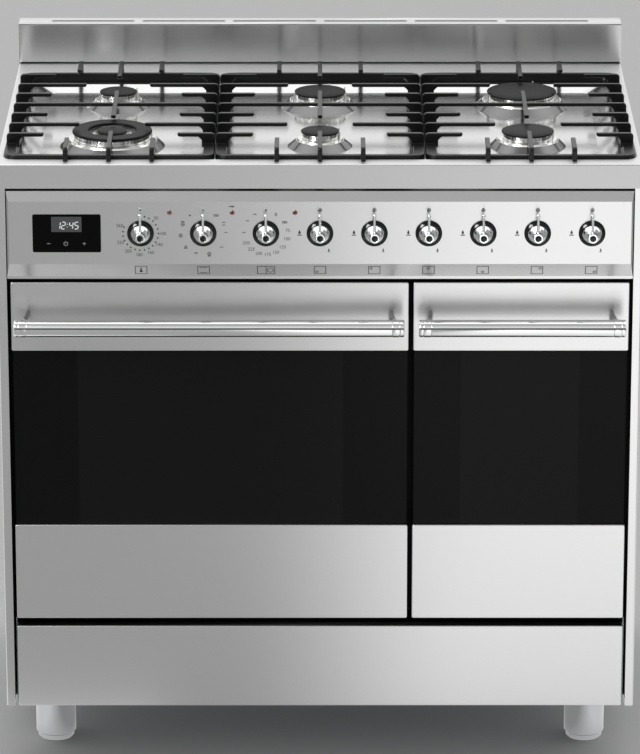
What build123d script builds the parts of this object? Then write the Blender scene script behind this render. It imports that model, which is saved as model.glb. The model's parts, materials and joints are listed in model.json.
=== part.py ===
from build123d import *
from math import cos, pi, radians, sin
import os

# Free-standing range cooker with six gas burners, two ovens side by side and a storage drawer.
# All sizes are in millimetres. X runs along the front to the right, Y towards the wall, Z up.
# A depth is measured from the front edge of the worktop, positive towards the wall.

# Body
WIDTH = 898.0
BODY_DEPTH = 600.0
SHEET = 1.5
TRIM_WIDTH = 12.0
REAR_RETURN = 22.0
BACK_RECESS = 25.0
FOOT_HEIGHT = 95.0
APRON_HEIGHT = 35.0
CORNER_BEND = 2.5

# Heights and gaps of the front, from the drawer up
DRAWER_HEIGHT = 122.0
DRAWER_DOOR_GAP = 12.0
DOOR_HEIGHT = 500.0
DOOR_PANEL_GAP = 5.5
PANEL_HEIGHT = 127.0
PANEL_TOP_GAP = 3.5
PANEL_SIDE_GAP = 1.0
DOOR_SIDE_GAP = 5.0
DOOR_SPLIT_GAP = 6.5
AUX_DOOR_WIDTH = 301.5

# Clearances
SEAT_GAP = 0.3
RUNNING_GAP = 0.05
SWING_GAP = 2.0
CUT_MARGIN = 1.0

# Splashback
SPLASH_HEIGHT = 61.0
SPLASH_DEPTH = 38.0
SPLASH_FOOT_GAP = 3.0
VENT_COUNT = 6
VENT_LENGTH = 124.5
VENT_WIDTH = 6.0
VENT_PITCH = 135.5

# Hob
RIM_FRONT = 25.0
RIM_SIDE = 8.0
WELL_DEPTH = 466.0
LEDGE_DROP = 6.0
LEDGE_WIDTH = 28.0
PAN_DROP = 8.0
PAN_SLOPE = 20.0
WELL_RADIUS = 18.0
WELL_FLOOR_RADIUS = 9.0
BOSS_HEIGHT = 10.0
BOSS_MARGIN = 7.0

# Burners: column, row (0 front, 1 rear), cap radius, foot radius of the pressed boss
BURNERS = {
    "left_front": (-1, 0, 56.5, 74.0),
    "left_rear": (-1, 1, 27.0, 46.0),
    "centre_rear": (0, 1, 37.0, 58.0),
    "centre_front": (0, 0, 27.0, 46.0),
    "right_rear": (1, 1, 50.5, 69.0),
    "right_front": (1, 0, 37.0, 54.0),
}
WOK = "left_front"
BURNER_ROW_FRONT = 148.0
BURNER_ROW_PITCH = 220.0
CUP_INSET = 9.0
CUP_LENGTH = 26.0
CUP_TAPER = 10.0
FLANGE_MARGIN = 6.0
FLANGE_HEIGHT = 2.0
CROWN_INSET = 2.0
CROWN_HEIGHT = 8.5
CROWN_WALL = 5.0
CROWN_FOOT = 1.0
PORT_WIDTH = 1.6
PORT_DEPTH = 4.5
PORT_PITCH = 5.5
CAP_HEIGHT = 3.8
CAP_DOME = 1.6
WOK_RING_HOLE = 33.5
WOK_INNER_CAP = 21.5
PROBE_RADIUS = 2.2
PROBE_HEIGHT = 6.0
PROBE_PIN = 0.9
PROBE_ANGLES = (25.0, 70.0)

# Pan supports
SUPPORT_GAP = 2.0
SUPPORT_END_GAP = 2.0
SUPPORT_BAR = 8.0
SUPPORT_RAIL = 15.0
SUPPORT_RADIUS = 16.0
SUPPORT_BAR_HEIGHT = 11.0
FINGER_TOP = 20.0
FINGER_HEIGHT = 5.0
FINGER_WIDTH = 6.5
FINGER_ROOT = 18.0
FINGER_CORNER = 5.0
FINGER_TIP = 2.0
FINGER_PITCH = 55.0
SHORT_FINGER = 52.0
FINGER_RING = 46.0
END_FINGER_PITCH = 60.0
END_FINGER_LENGTH = 42.0
END_FINGER_REACH = 78.0
END_FOOT = 15.0
CENTRE_BAR = 140.0

# Control panel
PANEL_RISE = 12.0
PANEL_TOP_BEVEL = 12.0
PANEL_BOTTOM_BEVEL = 21.0
PANEL_LIP = 4.0
PANEL_SIDE_BEVEL = 4.0
KNOB_DROP = 57.5
KNOB_END_INSET = 58.5
DIAL_ROOM = 11.5
GROUP_TUCK = 0.5
SPINDLE_HOLE = 5.5
CLOCK_INSET = 84.5
CLOCK_KNOB_GAP = 102.5
CLOCK_WIDTH = 95.0
CLOCK_HEIGHT = 55.0
CLOCK_PROUD = 0.6
CLOCK_HOUSING_MARGIN = 5.0
CLOCK_HOUSING_DEPTH = 28.0
LAMP_SIDE = 40.3
LAMP_RISE = 30.0
LAMP_RADIUS = 3.5
LAMP_FLANGE = 5.0
LAMP_DOME = 1.35

# Knobs
BEZEL_OUTER = 18.6
BEZEL_INNER = 13.3
BEZEL_HEIGHT = 5.0
KNOB_BASE_RADIUS = 12.6
KNOB_LIFT = 4.6
KNOB_HEIGHT = 28.0
KNOB_SKIRT = 2.0
KNOB_BULGE = 0.95
HUB_RADIUS = 7.0
HUB_EDGE = 1.0
SHOULDER = 14.5
DOT_RADIUS = 4.4
DOT_RECESS = 1.5
DOT_DOME = 0.5
POINTER_REACH = 29.5
POINTER_WIDTH = 4.0
POINTER_TIP_WIDTH = 2.8
POINTER_HEIGHT = 6.0
POINTER_SINK = 1.0
POINTER_BALL = 2.7
SPINDLE_RADIUS = 4.0
KNOB_PUSH = 4.0

# Gas rail and oven controls behind the panel
TAP_FRONT = 6.0
TAP_SIZE = 24.0
TAP_LENGTH = 48.0
TAP_OUTLET_RADIUS = 6.0
TAP_OUTLET_RISE = 6.0
RAIL_RADIUS = 8.0
COLLAR_RADIUS = 9.0
COLLAR_LENGTH = 9.7
SPINDLE_SINK = 4.0
SWITCH_SIZE = 38.0
SWITCH_DEPTH = 40.0
PIPE_RADIUS = 3.0
PIPE_BEND = 7.0
PIPE_LOW = 10.0
PIPE_STEP = 12.0
FEED_INSET = 44.0

# Front frame and ovens
SEAL_THICKNESS = 3.7
SEAL_WIDTH = 8.0
SEAL_MARGIN = 6.0
CONTROL_OPENING_INSET = 37.0
CONTROL_OPENING_TOP = 7.0
CONTROL_OPENING_BOTTOM = 10.0
MAIN_CAVITY_WIDTH = 440.0
AUX_CAVITY_WIDTH = 222.0
CAVITY_HEIGHT = 350.0
CAVITY_RISE = 71.0
CAVITY_DEPTH = 410.0
CAVITY_RADIUS = 14.0
LINER_FLANGE = 10.0
INSULATION = 25.0
FLOOR_ELEMENT_GAP = 10.0
WIRE_RADIUS = 2.5
WIRE_WELD = 1.0
SHELF_WIRE = 3.0
SHELF_BAR = 2.0
SHELF_BAR_PITCH = 26.0
LADDER_FIRST = 70.0
LADDER_PITCH = 60.0
LADDER_LEVELS = 4
LADDER_GUARD = 16.0
LADDER_INSET = 45.0
TRAY_LEVEL = 0
SHELF_LEVEL = 2
TRAY_DEPTH = 32.0
ELEMENT_RADIUS = 3.25
ELEMENT_DROP = 15.0
ELEMENT_BEND = 22.0
GRILL_MARGIN = 70.0
GRILL_LOOP_PITCH = 100.0
LAMP_LENS_RADIUS = 20.0
LAMP_LENS_RIM = 3.0
LAMP_LENS_DEPTH = 9.0
LAMP_LENS_INSET = 50.0
LAMP_LENS_DROP = 80.0

# Convection fan
FAN_RADIUS = 70.0
FAN_BLADES = 14
FAN_BLADE_WIDTH = 26.0
FAN_BLADE_DEPTH = 15.0
FAN_SHEET = 1.2
FAN_HUB = 12.0
FAN_STANDOFF = 7.0
FAN_COVER_RADIUS = 125.0
FAN_COVER_DEPTH = 30.0
FAN_COVER_BEND = 4.5
FAN_SLOTS = 24
FAN_SLOT_INNER = 16.0
FAN_SLOT_OUTER = 58.0
FAN_SLOT_WIDTH = 3.2
RING_ELEMENT = 100.0
RING_LEG = 2.6
RING_LEG_SPREAD = 6.5
MOTOR_RADIUS = 36.0
MOTOR_LENGTH = 50.0
SHAFT_HOLE = 6.0

# Doors
DOOR_THICKNESS = 36.0
SKIN_DEPTH = 5.0
SKIN_EDGE = 1.2
GLASS = 4.0
TOP_SKIN_HEIGHT = 100.0
BOTTOM_SKIN_HEIGHT = 141.0
WINDOW_SIDE = 70.0
WINDOW_BOTTOM = 105.0
WINDOW_TOP = 95.0
WINDOW_RADIUS = 12.0
PANE_OVERLAP = 10.0
PIVOT_DEPTH = 25.0
PIVOT_RISE = 28.0
HINGE_INSET = 46.0
HINGE_PIN = 4.0
HINGE_EYE = 9.0
BRACKET = 5.0
BRACKET_FOOT = 28.0
BRACKET_FOOT_HEIGHT = 30.0
BRACKET_NECK = 12.0
HINGE_CHEEK = 8.0
HINGE_PLAY = 1.0

# Handles
HANDLE_STANDOFF = 50.0
HANDLE_RADIUS = 12.0
HANDLE_WALL = 1.5
HANDLE_DROP = 51.5
HANDLE_MARGIN = 7.0
HANDLE_CAP = 9.0
HANDLE_COLLAR = 12.0
HANDLE_COLLAR_STEP = 0.6
HANDLE_GROOVE = 1.0
HANDLE_EDGE = 2.0
POST_RADIUS = 5.0
ROSETTE_RADIUS = 8.0
ROSETTE_HEIGHT = 2.0

# Drawer
DRAWER_FRONT_DEPTH = 18.0
DRAWER_BOX_INSET = 32.0
DRAWER_BOX_DEPTH = 460.0
DRAWER_FLOOR_RISE = 17.0
DRAWER_BOX_HEIGHT = 88.0
DRAWER_LIP = 11.0
BAY_SIDE_GAP = 2.5
BAY_HEADROOM = 5.0
GUIDE_DROP = 17.0
GUIDE_UPSTAND = 8.5
GUIDE_LEDGE = 24.0
GUIDE_END = 14.0

# Feet
FOOT_RADIUS = 29.0
FOOT_INSET = 63.0
FOOT_FRONT = 125.0
FOOT_REAR = 75.0
FOOT_EDGE = 2.0
PAD_HEIGHT = 8.0
PAD_RADIUS = 26.0
STEM_RADIUS = 12.0
STEM_LENGTH = 60.0

# Back
INLET_RADIUS = 10.48
INLET_BORE = 7.0
INLET_LENGTH = 20.0
INLET_NUT = 15.0
INLET_NUT_HEIGHT = 3.0
INLET_DROP = 30.0
TERMINAL_WIDTH = 90.0
TERMINAL_HEIGHT = 70.0
TERMINAL_DEPTH = 20.0
TERMINAL_SIDE = 90.0
LOUVRE_ROWS = 9
LOUVRE_COLUMNS = 3
LOUVRE_LENGTH = 120.0
LOUVRE_WIDTH = 5.0
LOUVRE_PITCH = 16.0
LOUVRE_COLUMN_PITCH = 200.0
LOUVRE_TOP = 60.0

# Places that follow from the sizes
HALF = WIDTH / 2
TRIM_EDGE = HALF - TRIM_WIDTH
PANEL_HALF = TRIM_EDGE - PANEL_SIDE_GAP
DOOR_HALF = TRIM_EDGE - DOOR_SIDE_GAP
AUX_SPAN = (DOOR_HALF - AUX_DOOR_WIDTH, DOOR_HALF)
MAIN_SPAN = (-DOOR_HALF, AUX_SPAN[0] - DOOR_SPLIT_GAP)
DRAWER_TOP = FOOT_HEIGHT + DRAWER_HEIGHT
DOOR_BOTTOM = DRAWER_TOP + DRAWER_DOOR_GAP
DOOR_TOP = DOOR_BOTTOM + DOOR_HEIGHT
PANEL_BOTTOM = DOOR_TOP + DOOR_PANEL_GAP
PANEL_TOP = PANEL_BOTTOM + PANEL_HEIGHT
APRON_BOTTOM = PANEL_TOP + PANEL_TOP_GAP
WORKTOP = APRON_BOTTOM + APRON_HEIGHT
FRONT_REACH = HANDLE_STANDOFF + HANDLE_RADIUS + HANDLE_COLLAR_STEP
FRONT_Y = (FRONT_REACH - BODY_DEPTH) / 2
FRAME_FACE = DOOR_THICKNESS + SEAT_GAP + SEAL_THICKNESS
LINER_FRONT = FRAME_FACE + SHEET
CAVITY_BACK = LINER_FRONT + CAVITY_DEPTH
CAVITY_FLOOR = DOOR_BOTTOM + CAVITY_RISE
CAVITY_TOP = CAVITY_FLOOR + CAVITY_HEIGHT
CAVITY_MIDDLE = (CAVITY_FLOOR + CAVITY_TOP) / 2
BACK_FACE = BODY_DEPTH - BACK_RECESS
BAY_TOP = DRAWER_TOP + BAY_HEADROOM
BAY_HALF = TRIM_EDGE - BAY_SIDE_GAP
PIVOT_Z = DOOR_BOTTOM + PIVOT_RISE
STEP_BOTTOM = PIVOT_Z + DOOR_THICKNESS - PIVOT_DEPTH + BAY_HEADROOM + SWING_GAP
STEP_BACK = PIVOT_DEPTH + PIVOT_RISE + BAY_HEADROOM + SWING_GAP + SHEET
PANEL_FACE = -PANEL_RISE
PANEL_INSIDE = PANEL_FACE + SHEET
KNOB_Z = PANEL_TOP - KNOB_DROP
CLOCK_CENTRE = CLOCK_INSET - PANEL_HALF
OVEN_KNOB_START = CLOCK_CENTRE + CLOCK_KNOB_GAP
GAS_KNOB_END = PANEL_HALF - KNOB_END_INSET
KNOB_STEPS = len(BURNERS) + 2
GAS_KNOB_PITCH = (GAS_KNOB_END - OVEN_KNOB_START - 2 * DIAL_ROOM + GROUP_TUCK) / KNOB_STEPS
OVEN_KNOB_PITCH = GAS_KNOB_PITCH + DIAL_ROOM
OVEN_KNOBS = [OVEN_KNOB_START + OVEN_KNOB_PITCH * k for k in range(3)]
GAS_KNOBS = [GAS_KNOB_END - GAS_KNOB_PITCH * k for k in reversed(range(len(BURNERS)))]
RAIL_DEPTH = TAP_FRONT + TAP_LENGTH + RAIL_RADIUS
WELL_HALF = HALF - RIM_SIDE
WELL_MIDDLE = RIM_FRONT + WELL_DEPTH / 2
LEDGE_Z = WORKTOP - LEDGE_DROP
PAN_Z = LEDGE_Z - PAN_DROP
BOSS_TOP = PAN_Z + BOSS_HEIGHT
CROWN_Z = BOSS_TOP + FLANGE_HEIGHT
CAP_Z = CROWN_Z + CROWN_HEIGHT
CUP_BOTTOM = BOSS_TOP - CUP_LENGTH
SUPPORT_WIDTH = (2 * WELL_HALF - 4 * SUPPORT_GAP) / 3
SUPPORT_DEPTH = WELL_DEPTH - 2 * SUPPORT_END_GAP
COLUMN_PITCH = SUPPORT_WIDTH + SUPPORT_GAP
MAIN_CENTRE = sum(MAIN_SPAN) / 2
AUX_CENTRE = sum(AUX_SPAN) / 2
OVENS = ((MAIN_CENTRE, MAIN_CAVITY_WIDTH), (AUX_CENTRE, AUX_CAVITY_WIDTH))
HANDLE_Z = DOOR_TOP - HANDLE_DROP
ON_BASE = (Align.CENTER, Align.CENTER, Align.MIN)


def spot(x, depth, z):
    """Point from its x, its depth behind the worktop edge and its height."""
    return Vector(x, FRONT_Y + depth, z)


def block(x, depth, z):
    """Box between a pair of x values, a pair of depths and a pair of heights."""
    middle = spot(sum(x) / 2, sum(depth) / 2, sum(z) / 2)
    return Pos(*middle) * Box(x[1] - x[0], depth[1] - depth[0], z[1] - z[0])


def rod(start, end, radius):
    """Round rod between two points, each an x, a depth and a height."""
    foot = spot(*start)
    run = spot(*end) - foot
    place = Plane(origin=foot, z_dir=run).location
    return place * Cylinder(radius, run.length, align=ON_BASE)


def slab(sketch, depth, x=0.0, z=0.0):
    """Upright outline, drawn in x and z, carried through a pair of depths."""
    plane = Plane(origin=spot(x, depth[1], z), x_dir=(1, 0, 0), z_dir=(0, -1, 0))
    return extrude(plane * sketch, amount=depth[1] - depth[0])


def layer(sketch, z, x=0.0, depth=0.0):
    """Level outline, drawn in x and depth, carried through a pair of heights."""
    return extrude(Pos(*spot(x, depth, z[0])) * sketch, amount=z[1] - z[0])


def outward(x, z, depth):
    """Place on the front whose own z axis points out of the cooker and own y axis up."""
    return Plane(origin=spot(x, depth, z), x_dir=(1, 0, 0), z_dir=(0, -1, 0)).location


def turned(points):
    """Solid of revolution about the z axis from an outline of radius and height points."""
    face = Plane.XZ * make_face(Polyline(*points, close=True))
    return revolve(face, Axis.Z)


def domed(radius, edge, height):
    """Disc with a straight edge and a spherical top."""
    rise = height - edge
    sphere = (radius**2 + rise**2) / (2 * rise)
    bow = (radius / 2, height - sphere + (sphere**2 - radius**2 / 4) ** 0.5)
    side = Polyline((0, height), (0, 0), (radius, 0), (radius, edge))
    top = ThreePointArc((radius, edge), bow, (0, height))
    return revolve(Plane.XZ * make_face(side + top), Axis.Z)


def joined(pieces):
    """Fuse a list of overlapping solids into one."""
    first, *rest = pieces
    return first.fuse(*rest) if rest else first


def tube_along(points, radius, bend):
    """Round bar along straight runs joined by arcs."""
    line = FilletPolyline(*[spot(*p) for p in points], radius=bend)
    start = Plane(origin=line @ 0, z_dir=line % 0)
    return sweep(start * Circle(radius), path=line)


def save(name, *solids):
    """Write one node as a group of separate solids."""
    found = [s for piece in solids for s in piece.solids()]
    shape = found[0] if len(found) == 1 else Compound(found)
    export_step(shape, os.path.join("parts", name + ".step"))


def side_panel(side):
    """Folded side sheet with a front trim, a hem behind it and a rear return."""
    z = (FOOT_HEIGHT, APRON_BOTTOM)
    skin = block((HALF - SHEET, HALF), (0, BODY_DEPTH), z)
    trim = block((TRIM_EDGE, HALF), (0, SHEET), z)
    hem = block((TRIM_EDGE, TRIM_EDGE + SHEET), (0, LINER_FRONT), z)
    rear = block((HALF - REAR_RETURN, HALF), (BODY_DEPTH - SHEET, BODY_DEPTH), z)
    panel = joined([skin, trim, hem, rear])
    front_edges = panel.edges().filter_by(Axis.Z).group_by(Axis.Y)[0]
    panel = fillet(front_edges.sort_by(Axis.X)[-1], CORNER_BEND)
    return panel if side > 0 else mirror(panel, Plane.YZ)


def back_panel():
    """Rear sheet between the side panels, with columns of louvre slots near its top."""
    sheet = block(
        (SHEET - HALF, HALF - SHEET), (BACK_FACE - SHEET, BACK_FACE), (FOOT_HEIGHT, APRON_BOTTOM)
    )
    top = APRON_BOTTOM - LOUVRE_TOP
    grid_height = (LOUVRE_ROWS - 1) * LOUVRE_PITCH
    places = GridLocations(LOUVRE_COLUMN_PITCH, LOUVRE_PITCH, LOUVRE_COLUMNS, LOUVRE_ROWS)
    slots = Sketch() + places * SlotOverall(LOUVRE_LENGTH, LOUVRE_WIDTH)
    return sheet - slab(slots, (BACK_FACE - 2 * SHEET, BACK_FACE + SHEET), 0, top - grid_height / 2)


def base_frame():
    """Floor on the feet, and the box of the drawer bay, open at the front and the back."""
    front = DRAWER_FRONT_DEPTH + SHEET + SWING_GAP
    back = BACK_FACE - SHEET
    z = (FOOT_HEIGHT, FOOT_HEIGHT + SHEET)
    floor = block((SHEET - HALF, HALF - SHEET), (LINER_FRONT, back), z)
    apron = block((-BAY_HALF, BAY_HALF), (front, LINER_FRONT), z)
    top = block((-BAY_HALF, BAY_HALF), (STEP_BACK, back), (BAY_TOP - SHEET, BAY_TOP))
    walls = [
        block((x, x + SHEET), (front, back), (FOOT_HEIGHT, BAY_TOP)) for x in (-BAY_HALF, BAY_HALF - SHEET)
    ]
    return joined([floor, apron, top, *walls])


def oven_mouth(width, grow=0.0):
    """Rounded outline of an oven opening, grown evenly on all sides."""
    return RectangleRounded(width + 2 * grow, CAVITY_HEIGHT + 2 * grow, CAVITY_RADIUS + grow)


def front_frame():
    """Front plate with both oven mouths and the control opening, stepped back over the hinges."""
    face = block((-TRIM_EDGE, TRIM_EDGE), (FRAME_FACE, LINER_FRONT), (STEP_BOTTOM, PANEL_TOP))
    step = block((-TRIM_EDGE, TRIM_EDGE), (FRAME_FACE, STEP_BACK), (STEP_BOTTOM, STEP_BOTTOM + SHEET))
    sill = block((-TRIM_EDGE, TRIM_EDGE), (STEP_BACK - SHEET, STEP_BACK), (BAY_TOP, STEP_BOTTOM + SHEET))
    frame = joined([face, step, sill])
    through = (FRAME_FACE - SHEET, LINER_FRONT + SHEET)
    for centre, width in OVENS:
        frame -= slab(oven_mouth(width), through, centre, CAVITY_MIDDLE)
    reach = TRIM_EDGE - CONTROL_OPENING_INSET
    return frame - block(
        (-reach, reach), through, (PANEL_BOTTOM + CONTROL_OPENING_BOTTOM, PANEL_TOP - CONTROL_OPENING_TOP)
    )


def oven_liner(centre, width):
    """Pressed oven box with rounded corners and a flange behind the front frame."""
    back = CAVITY_BACK + SHEET
    box = slab(oven_mouth(width, SHEET), (LINER_FRONT, back), centre, CAVITY_MIDDLE)
    flange = slab(oven_mouth(width, LINER_FLANGE), (LINER_FRONT, LINER_FRONT + SHEET), centre, CAVITY_MIDDLE)
    room = slab(oven_mouth(width), (LINER_FRONT - SHEET, CAVITY_BACK), centre, CAVITY_MIDDLE)
    return box + flange - room


def main_oven_liner():
    """Wide liner with the hole for the fan shaft."""
    through = (CAVITY_BACK - SHEET, CAVITY_BACK + 2 * SHEET)
    hole = slab(Circle(SHAFT_HOLE), through, MAIN_CENTRE, CAVITY_MIDDLE)
    return oven_liner(MAIN_CENTRE, MAIN_CAVITY_WIDTH) - hole


def insulation(centre, width):
    """Mineral-wool jacket round a liner, with room under the floor for the lower element."""
    grow = SHEET + SEAT_GAP
    front = STEP_BACK + SEAT_GAP
    back = CAVITY_BACK + grow
    half = width / 2 + grow
    floor = CAVITY_FLOOR - grow - FLOOR_ELEMENT_GAP
    roof = CAVITY_TOP + grow
    outer = block(
        (centre - half - INSULATION, centre + half + INSULATION),
        (front, back + INSULATION),
        (floor - INSULATION, roof + INSULATION),
    )
    return outer - block((centre - half, centre + half), (front - SHEET, back), (floor, roof))


def oven_insulation():
    """Both jackets, the wide one with a hole for the fan motor."""
    wide = insulation(MAIN_CENTRE, MAIN_CAVITY_WIDTH)
    motor = rod(
        (MAIN_CENTRE, CAVITY_BACK, CAVITY_MIDDLE),
        (MAIN_CENTRE, CAVITY_BACK + SHEET + MOTOR_LENGTH, CAVITY_MIDDLE),
        MOTOR_RADIUS + SEAT_GAP,
    )
    return [wide - motor, insulation(AUX_CENTRE, AUX_CAVITY_WIDTH)]


def door_seal(centre, width):
    """Flat gasket round an oven mouth."""
    ring = oven_mouth(width, SEAL_MARGIN + SEAL_WIDTH) - oven_mouth(width, SEAL_MARGIN)
    return slab(ring, (FRAME_FACE - SEAL_THICKNESS, FRAME_FACE), centre, CAVITY_MIDDLE)


def rail_height(level):
    """Height of the lower wire of a shelf level."""
    return CAVITY_FLOOR + LADDER_FIRST + LADDER_PITCH * level


def shelf_ladder(wall, inward):
    """Wire side rack: two uprights against the wall and a pair of rails at each level."""
    upright_x = wall + inward * (WIRE_RADIUS + SEAT_GAP)
    rail_x = wall + inward * rail_offset()
    front = LINER_FRONT + LADDER_INSET
    back = CAVITY_BACK - LADDER_INSET
    inset = LADDER_INSET
    top = rail_height(LADDER_LEVELS - 1) + LADDER_GUARD + LADDER_INSET / 2
    foot = CAVITY_FLOOR + LADDER_INSET
    wires = [
        rod((upright_x, depth, foot), (upright_x, depth, top), WIRE_RADIUS)
        for depth in (front + inset, back - inset)
    ]
    for level in range(LADDER_LEVELS):
        for z in (rail_height(level), rail_height(level) + LADDER_GUARD):
            wires.append(rod((rail_x, front, z), (rail_x, back, z), WIRE_RADIUS))
    return joined(wires)


def rail_offset():
    """Distance of a shelf rail's centre from the oven wall."""
    return 3 * WIRE_RADIUS + SEAT_GAP - WIRE_WELD


def upright_room():
    """Distance from the oven wall that clears the ladder uprights."""
    return 2 * (WIRE_RADIUS + SEAT_GAP)


def oven_shelf(centre, width):
    """Wire shelf: a rounded frame wire and bars welded under it."""
    half = width / 2 - upright_room() - SHELF_WIRE
    z = rail_height(SHELF_LEVEL) + WIRE_RADIUS + SHELF_WIRE + RUNNING_GAP
    front = LINER_FRONT + LADDER_INSET
    back = CAVITY_BACK - FAN_COVER_DEPTH - 2 * SHELF_WIRE
    wires = [rod((x, front, z), (x, back, z), SHELF_WIRE) for x in (centre - half, centre + half)]
    for depth in (front + SHELF_WIRE, back - SHELF_WIRE):
        wires.append(rod((centre - half, depth, z), (centre + half, depth, z), SHELF_WIRE - RUNNING_GAP))
    count = int((2 * half - SHELF_BAR_PITCH) / SHELF_BAR_PITCH)
    start = -SHELF_BAR_PITCH * (count - 1) / 2
    bar_z = z + SHELF_WIRE - SHELF_BAR / 2
    bars = [
        rod(
            (centre + start + SHELF_BAR_PITCH * k, front + SHELF_WIRE, bar_z),
            (centre + start + SHELF_BAR_PITCH * k, back - SHELF_WIRE, bar_z),
            SHELF_BAR,
        )
        for k in range(count)
    ]
    return joined([*wires, *bars])


def oven_tray():
    """Enamelled baking tray hanging by its rim on the lowest rails of the main oven."""
    half = MAIN_CAVITY_WIDTH / 2 - upright_room()
    body = MAIN_CAVITY_WIDTH / 2 - 2 * rail_offset()
    front = LINER_FRONT + LADDER_INSET
    back = CAVITY_BACK - FAN_COVER_DEPTH - 2 * SHELF_WIRE
    middle = (front + back) / 2
    depth = back - front
    rim_z = rail_height(TRAY_LEVEL) + WIRE_RADIUS + RUNNING_GAP
    margin = half - body
    sheet = RectangleRounded(2 * half, depth, CAVITY_RADIUS)
    rim = layer(sheet, (rim_z, rim_z + SHEET), MAIN_CENTRE, middle)
    bowl = RectangleRounded(2 * body, depth - 2 * margin, CAVITY_RADIUS)
    room = RectangleRounded(2 * body - 2 * SHEET, depth - 2 * margin - 2 * SHEET, CAVITY_RADIUS - SHEET)
    pan = layer(bowl, (rim_z + SHEET - TRAY_DEPTH, rim_z + SHEET), MAIN_CENTRE, middle)
    hollow = layer(room, (rim_z + 2 * SHEET - TRAY_DEPTH, rim_z + 2 * SHEET), MAIN_CENTRE, middle)
    return rim + pan - hollow


def loop_element(centre, width, z, legs):
    """Tubular heater that runs in and out between the back wall and the oven mouth."""
    near = LINER_FRONT + GRILL_MARGIN
    far = CAVITY_BACK - GRILL_MARGIN
    half = width / 2 - GRILL_MARGIN
    xs = [centre - half + 2 * half * k / (legs - 1) for k in range(legs)]
    points = [(xs[0], CAVITY_BACK, z)]
    for k in range(legs - 1):
        turn = near if k % 2 == 0 else far
        points += [(xs[k], turn, z), (xs[k + 1], turn, z)]
    points.append((xs[-1], CAVITY_BACK, z))
    return tube_along(points, ELEMENT_RADIUS, ELEMENT_BEND)


def heating_elements():
    """Grill elements under the oven roofs, floor elements below the floors and the fan's ring."""
    pieces = []
    for centre, width in OVENS:
        legs = 2 * round((width - 2 * GRILL_MARGIN) / (2 * GRILL_LOOP_PITCH)) + 2
        pieces.append(loop_element(centre, width, CAVITY_TOP - ELEMENT_DROP, legs))
        under = CAVITY_FLOOR - SHEET - ELEMENT_RADIUS - SEAT_GAP
        pieces.append(loop_element(centre, width, under, 2))
    ring_depth = CAVITY_BACK - FAN_COVER_DEPTH / 2
    ring = outward(MAIN_CENTRE, CAVITY_MIDDLE, ring_depth) * Torus(RING_ELEMENT, ELEMENT_RADIUS)
    legs = [
        rod(
            (MAIN_CENTRE + x, ring_depth, CAVITY_MIDDLE + RING_ELEMENT),
            (MAIN_CENTRE + x, CAVITY_BACK, CAVITY_MIDDLE + RING_ELEMENT),
            RING_LEG,
        )
        for x in (-RING_LEG_SPREAD, RING_LEG_SPREAD)
    ]
    return [*pieces, joined([ring, *legs])]


def fan_cover():
    """Round dished cover over the fan, with a ring of radial slots."""
    place = outward(MAIN_CENTRE, CAVITY_MIDDLE, CAVITY_BACK)
    dish = Cylinder(FAN_COVER_RADIUS, FAN_COVER_DEPTH, align=ON_BASE)
    dish = fillet(dish.edges().sort_by(Axis.Z)[-1], FAN_COVER_BEND)
    room = Cylinder(FAN_COVER_RADIUS - SHEET, FAN_COVER_DEPTH - SHEET, align=ON_BASE)
    room = fillet(room.edges().sort_by(Axis.Z)[-1], FAN_COVER_BEND - SHEET)
    middle = (FAN_SLOT_INNER + FAN_SLOT_OUTER) / 2
    length = FAN_SLOT_OUTER - FAN_SLOT_INNER
    slots = PolarLocations(middle, FAN_SLOTS) * SlotOverall(length, FAN_SLOT_WIDTH)
    cuts = extrude(Pos(0, 0, FAN_COVER_DEPTH - 2 * SHEET) * (Sketch() + slots), amount=3 * SHEET)
    return place * (dish - room - cuts)


def fan_motor():
    """Round motor on the outside of the oven's back wall, with a bore for the shaft."""
    start = CAVITY_BACK + SHEET
    body = rod(
        (MAIN_CENTRE, start, CAVITY_MIDDLE), (MAIN_CENTRE, start + MOTOR_LENGTH, CAVITY_MIDDLE), MOTOR_RADIUS
    )
    bore = rod(
        (MAIN_CENTRE, start - SHEET, CAVITY_MIDDLE),
        (MAIN_CENTRE, start + MOTOR_LENGTH / 2 + SWING_GAP, CAVITY_MIDDLE),
        SPINDLE_RADIUS + RUNNING_GAP,
    )
    return body - bore


def convection_fan():
    """Bladed wheel on its shaft: a hub, a back disc and a ring of radial blades."""
    place = outward(MAIN_CENTRE, CAVITY_MIDDLE, CAVITY_BACK - FAN_STANDOFF)
    disc = Cylinder(FAN_RADIUS, FAN_SHEET, align=ON_BASE)
    hub = Cylinder(FAN_HUB, FAN_BLADE_DEPTH, align=ON_BASE)
    blade = Box(FAN_BLADE_WIDTH, FAN_SHEET, FAN_BLADE_DEPTH, align=ON_BASE)
    blades = PolarLocations(FAN_RADIUS - FAN_BLADE_WIDTH / 2 - FAN_SHEET, FAN_BLADES) * blade
    shaft_length = FAN_STANDOFF + SHEET + MOTOR_LENGTH / 2
    shaft = Pos(0, 0, -shaft_length) * Cylinder(SPINDLE_RADIUS, shaft_length + FAN_SHEET, align=ON_BASE)
    return place * joined([disc, hub, shaft, *blades])


def lamp_lens(centre, width):
    """Domed glass over the oven lamp, on the back wall."""
    place = outward(centre + width / 2 - LAMP_LENS_INSET, CAVITY_TOP - LAMP_LENS_DROP, CAVITY_BACK)
    return place * domed(LAMP_LENS_RADIUS, LAMP_LENS_RIM, LAMP_LENS_DEPTH)


def hob_column(column):
    """X of a burner column."""
    return column * COLUMN_PITCH


def burner_depth(row):
    """Depth of a burner row."""
    return BURNER_ROW_FRONT + BURNER_ROW_PITCH * row


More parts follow.
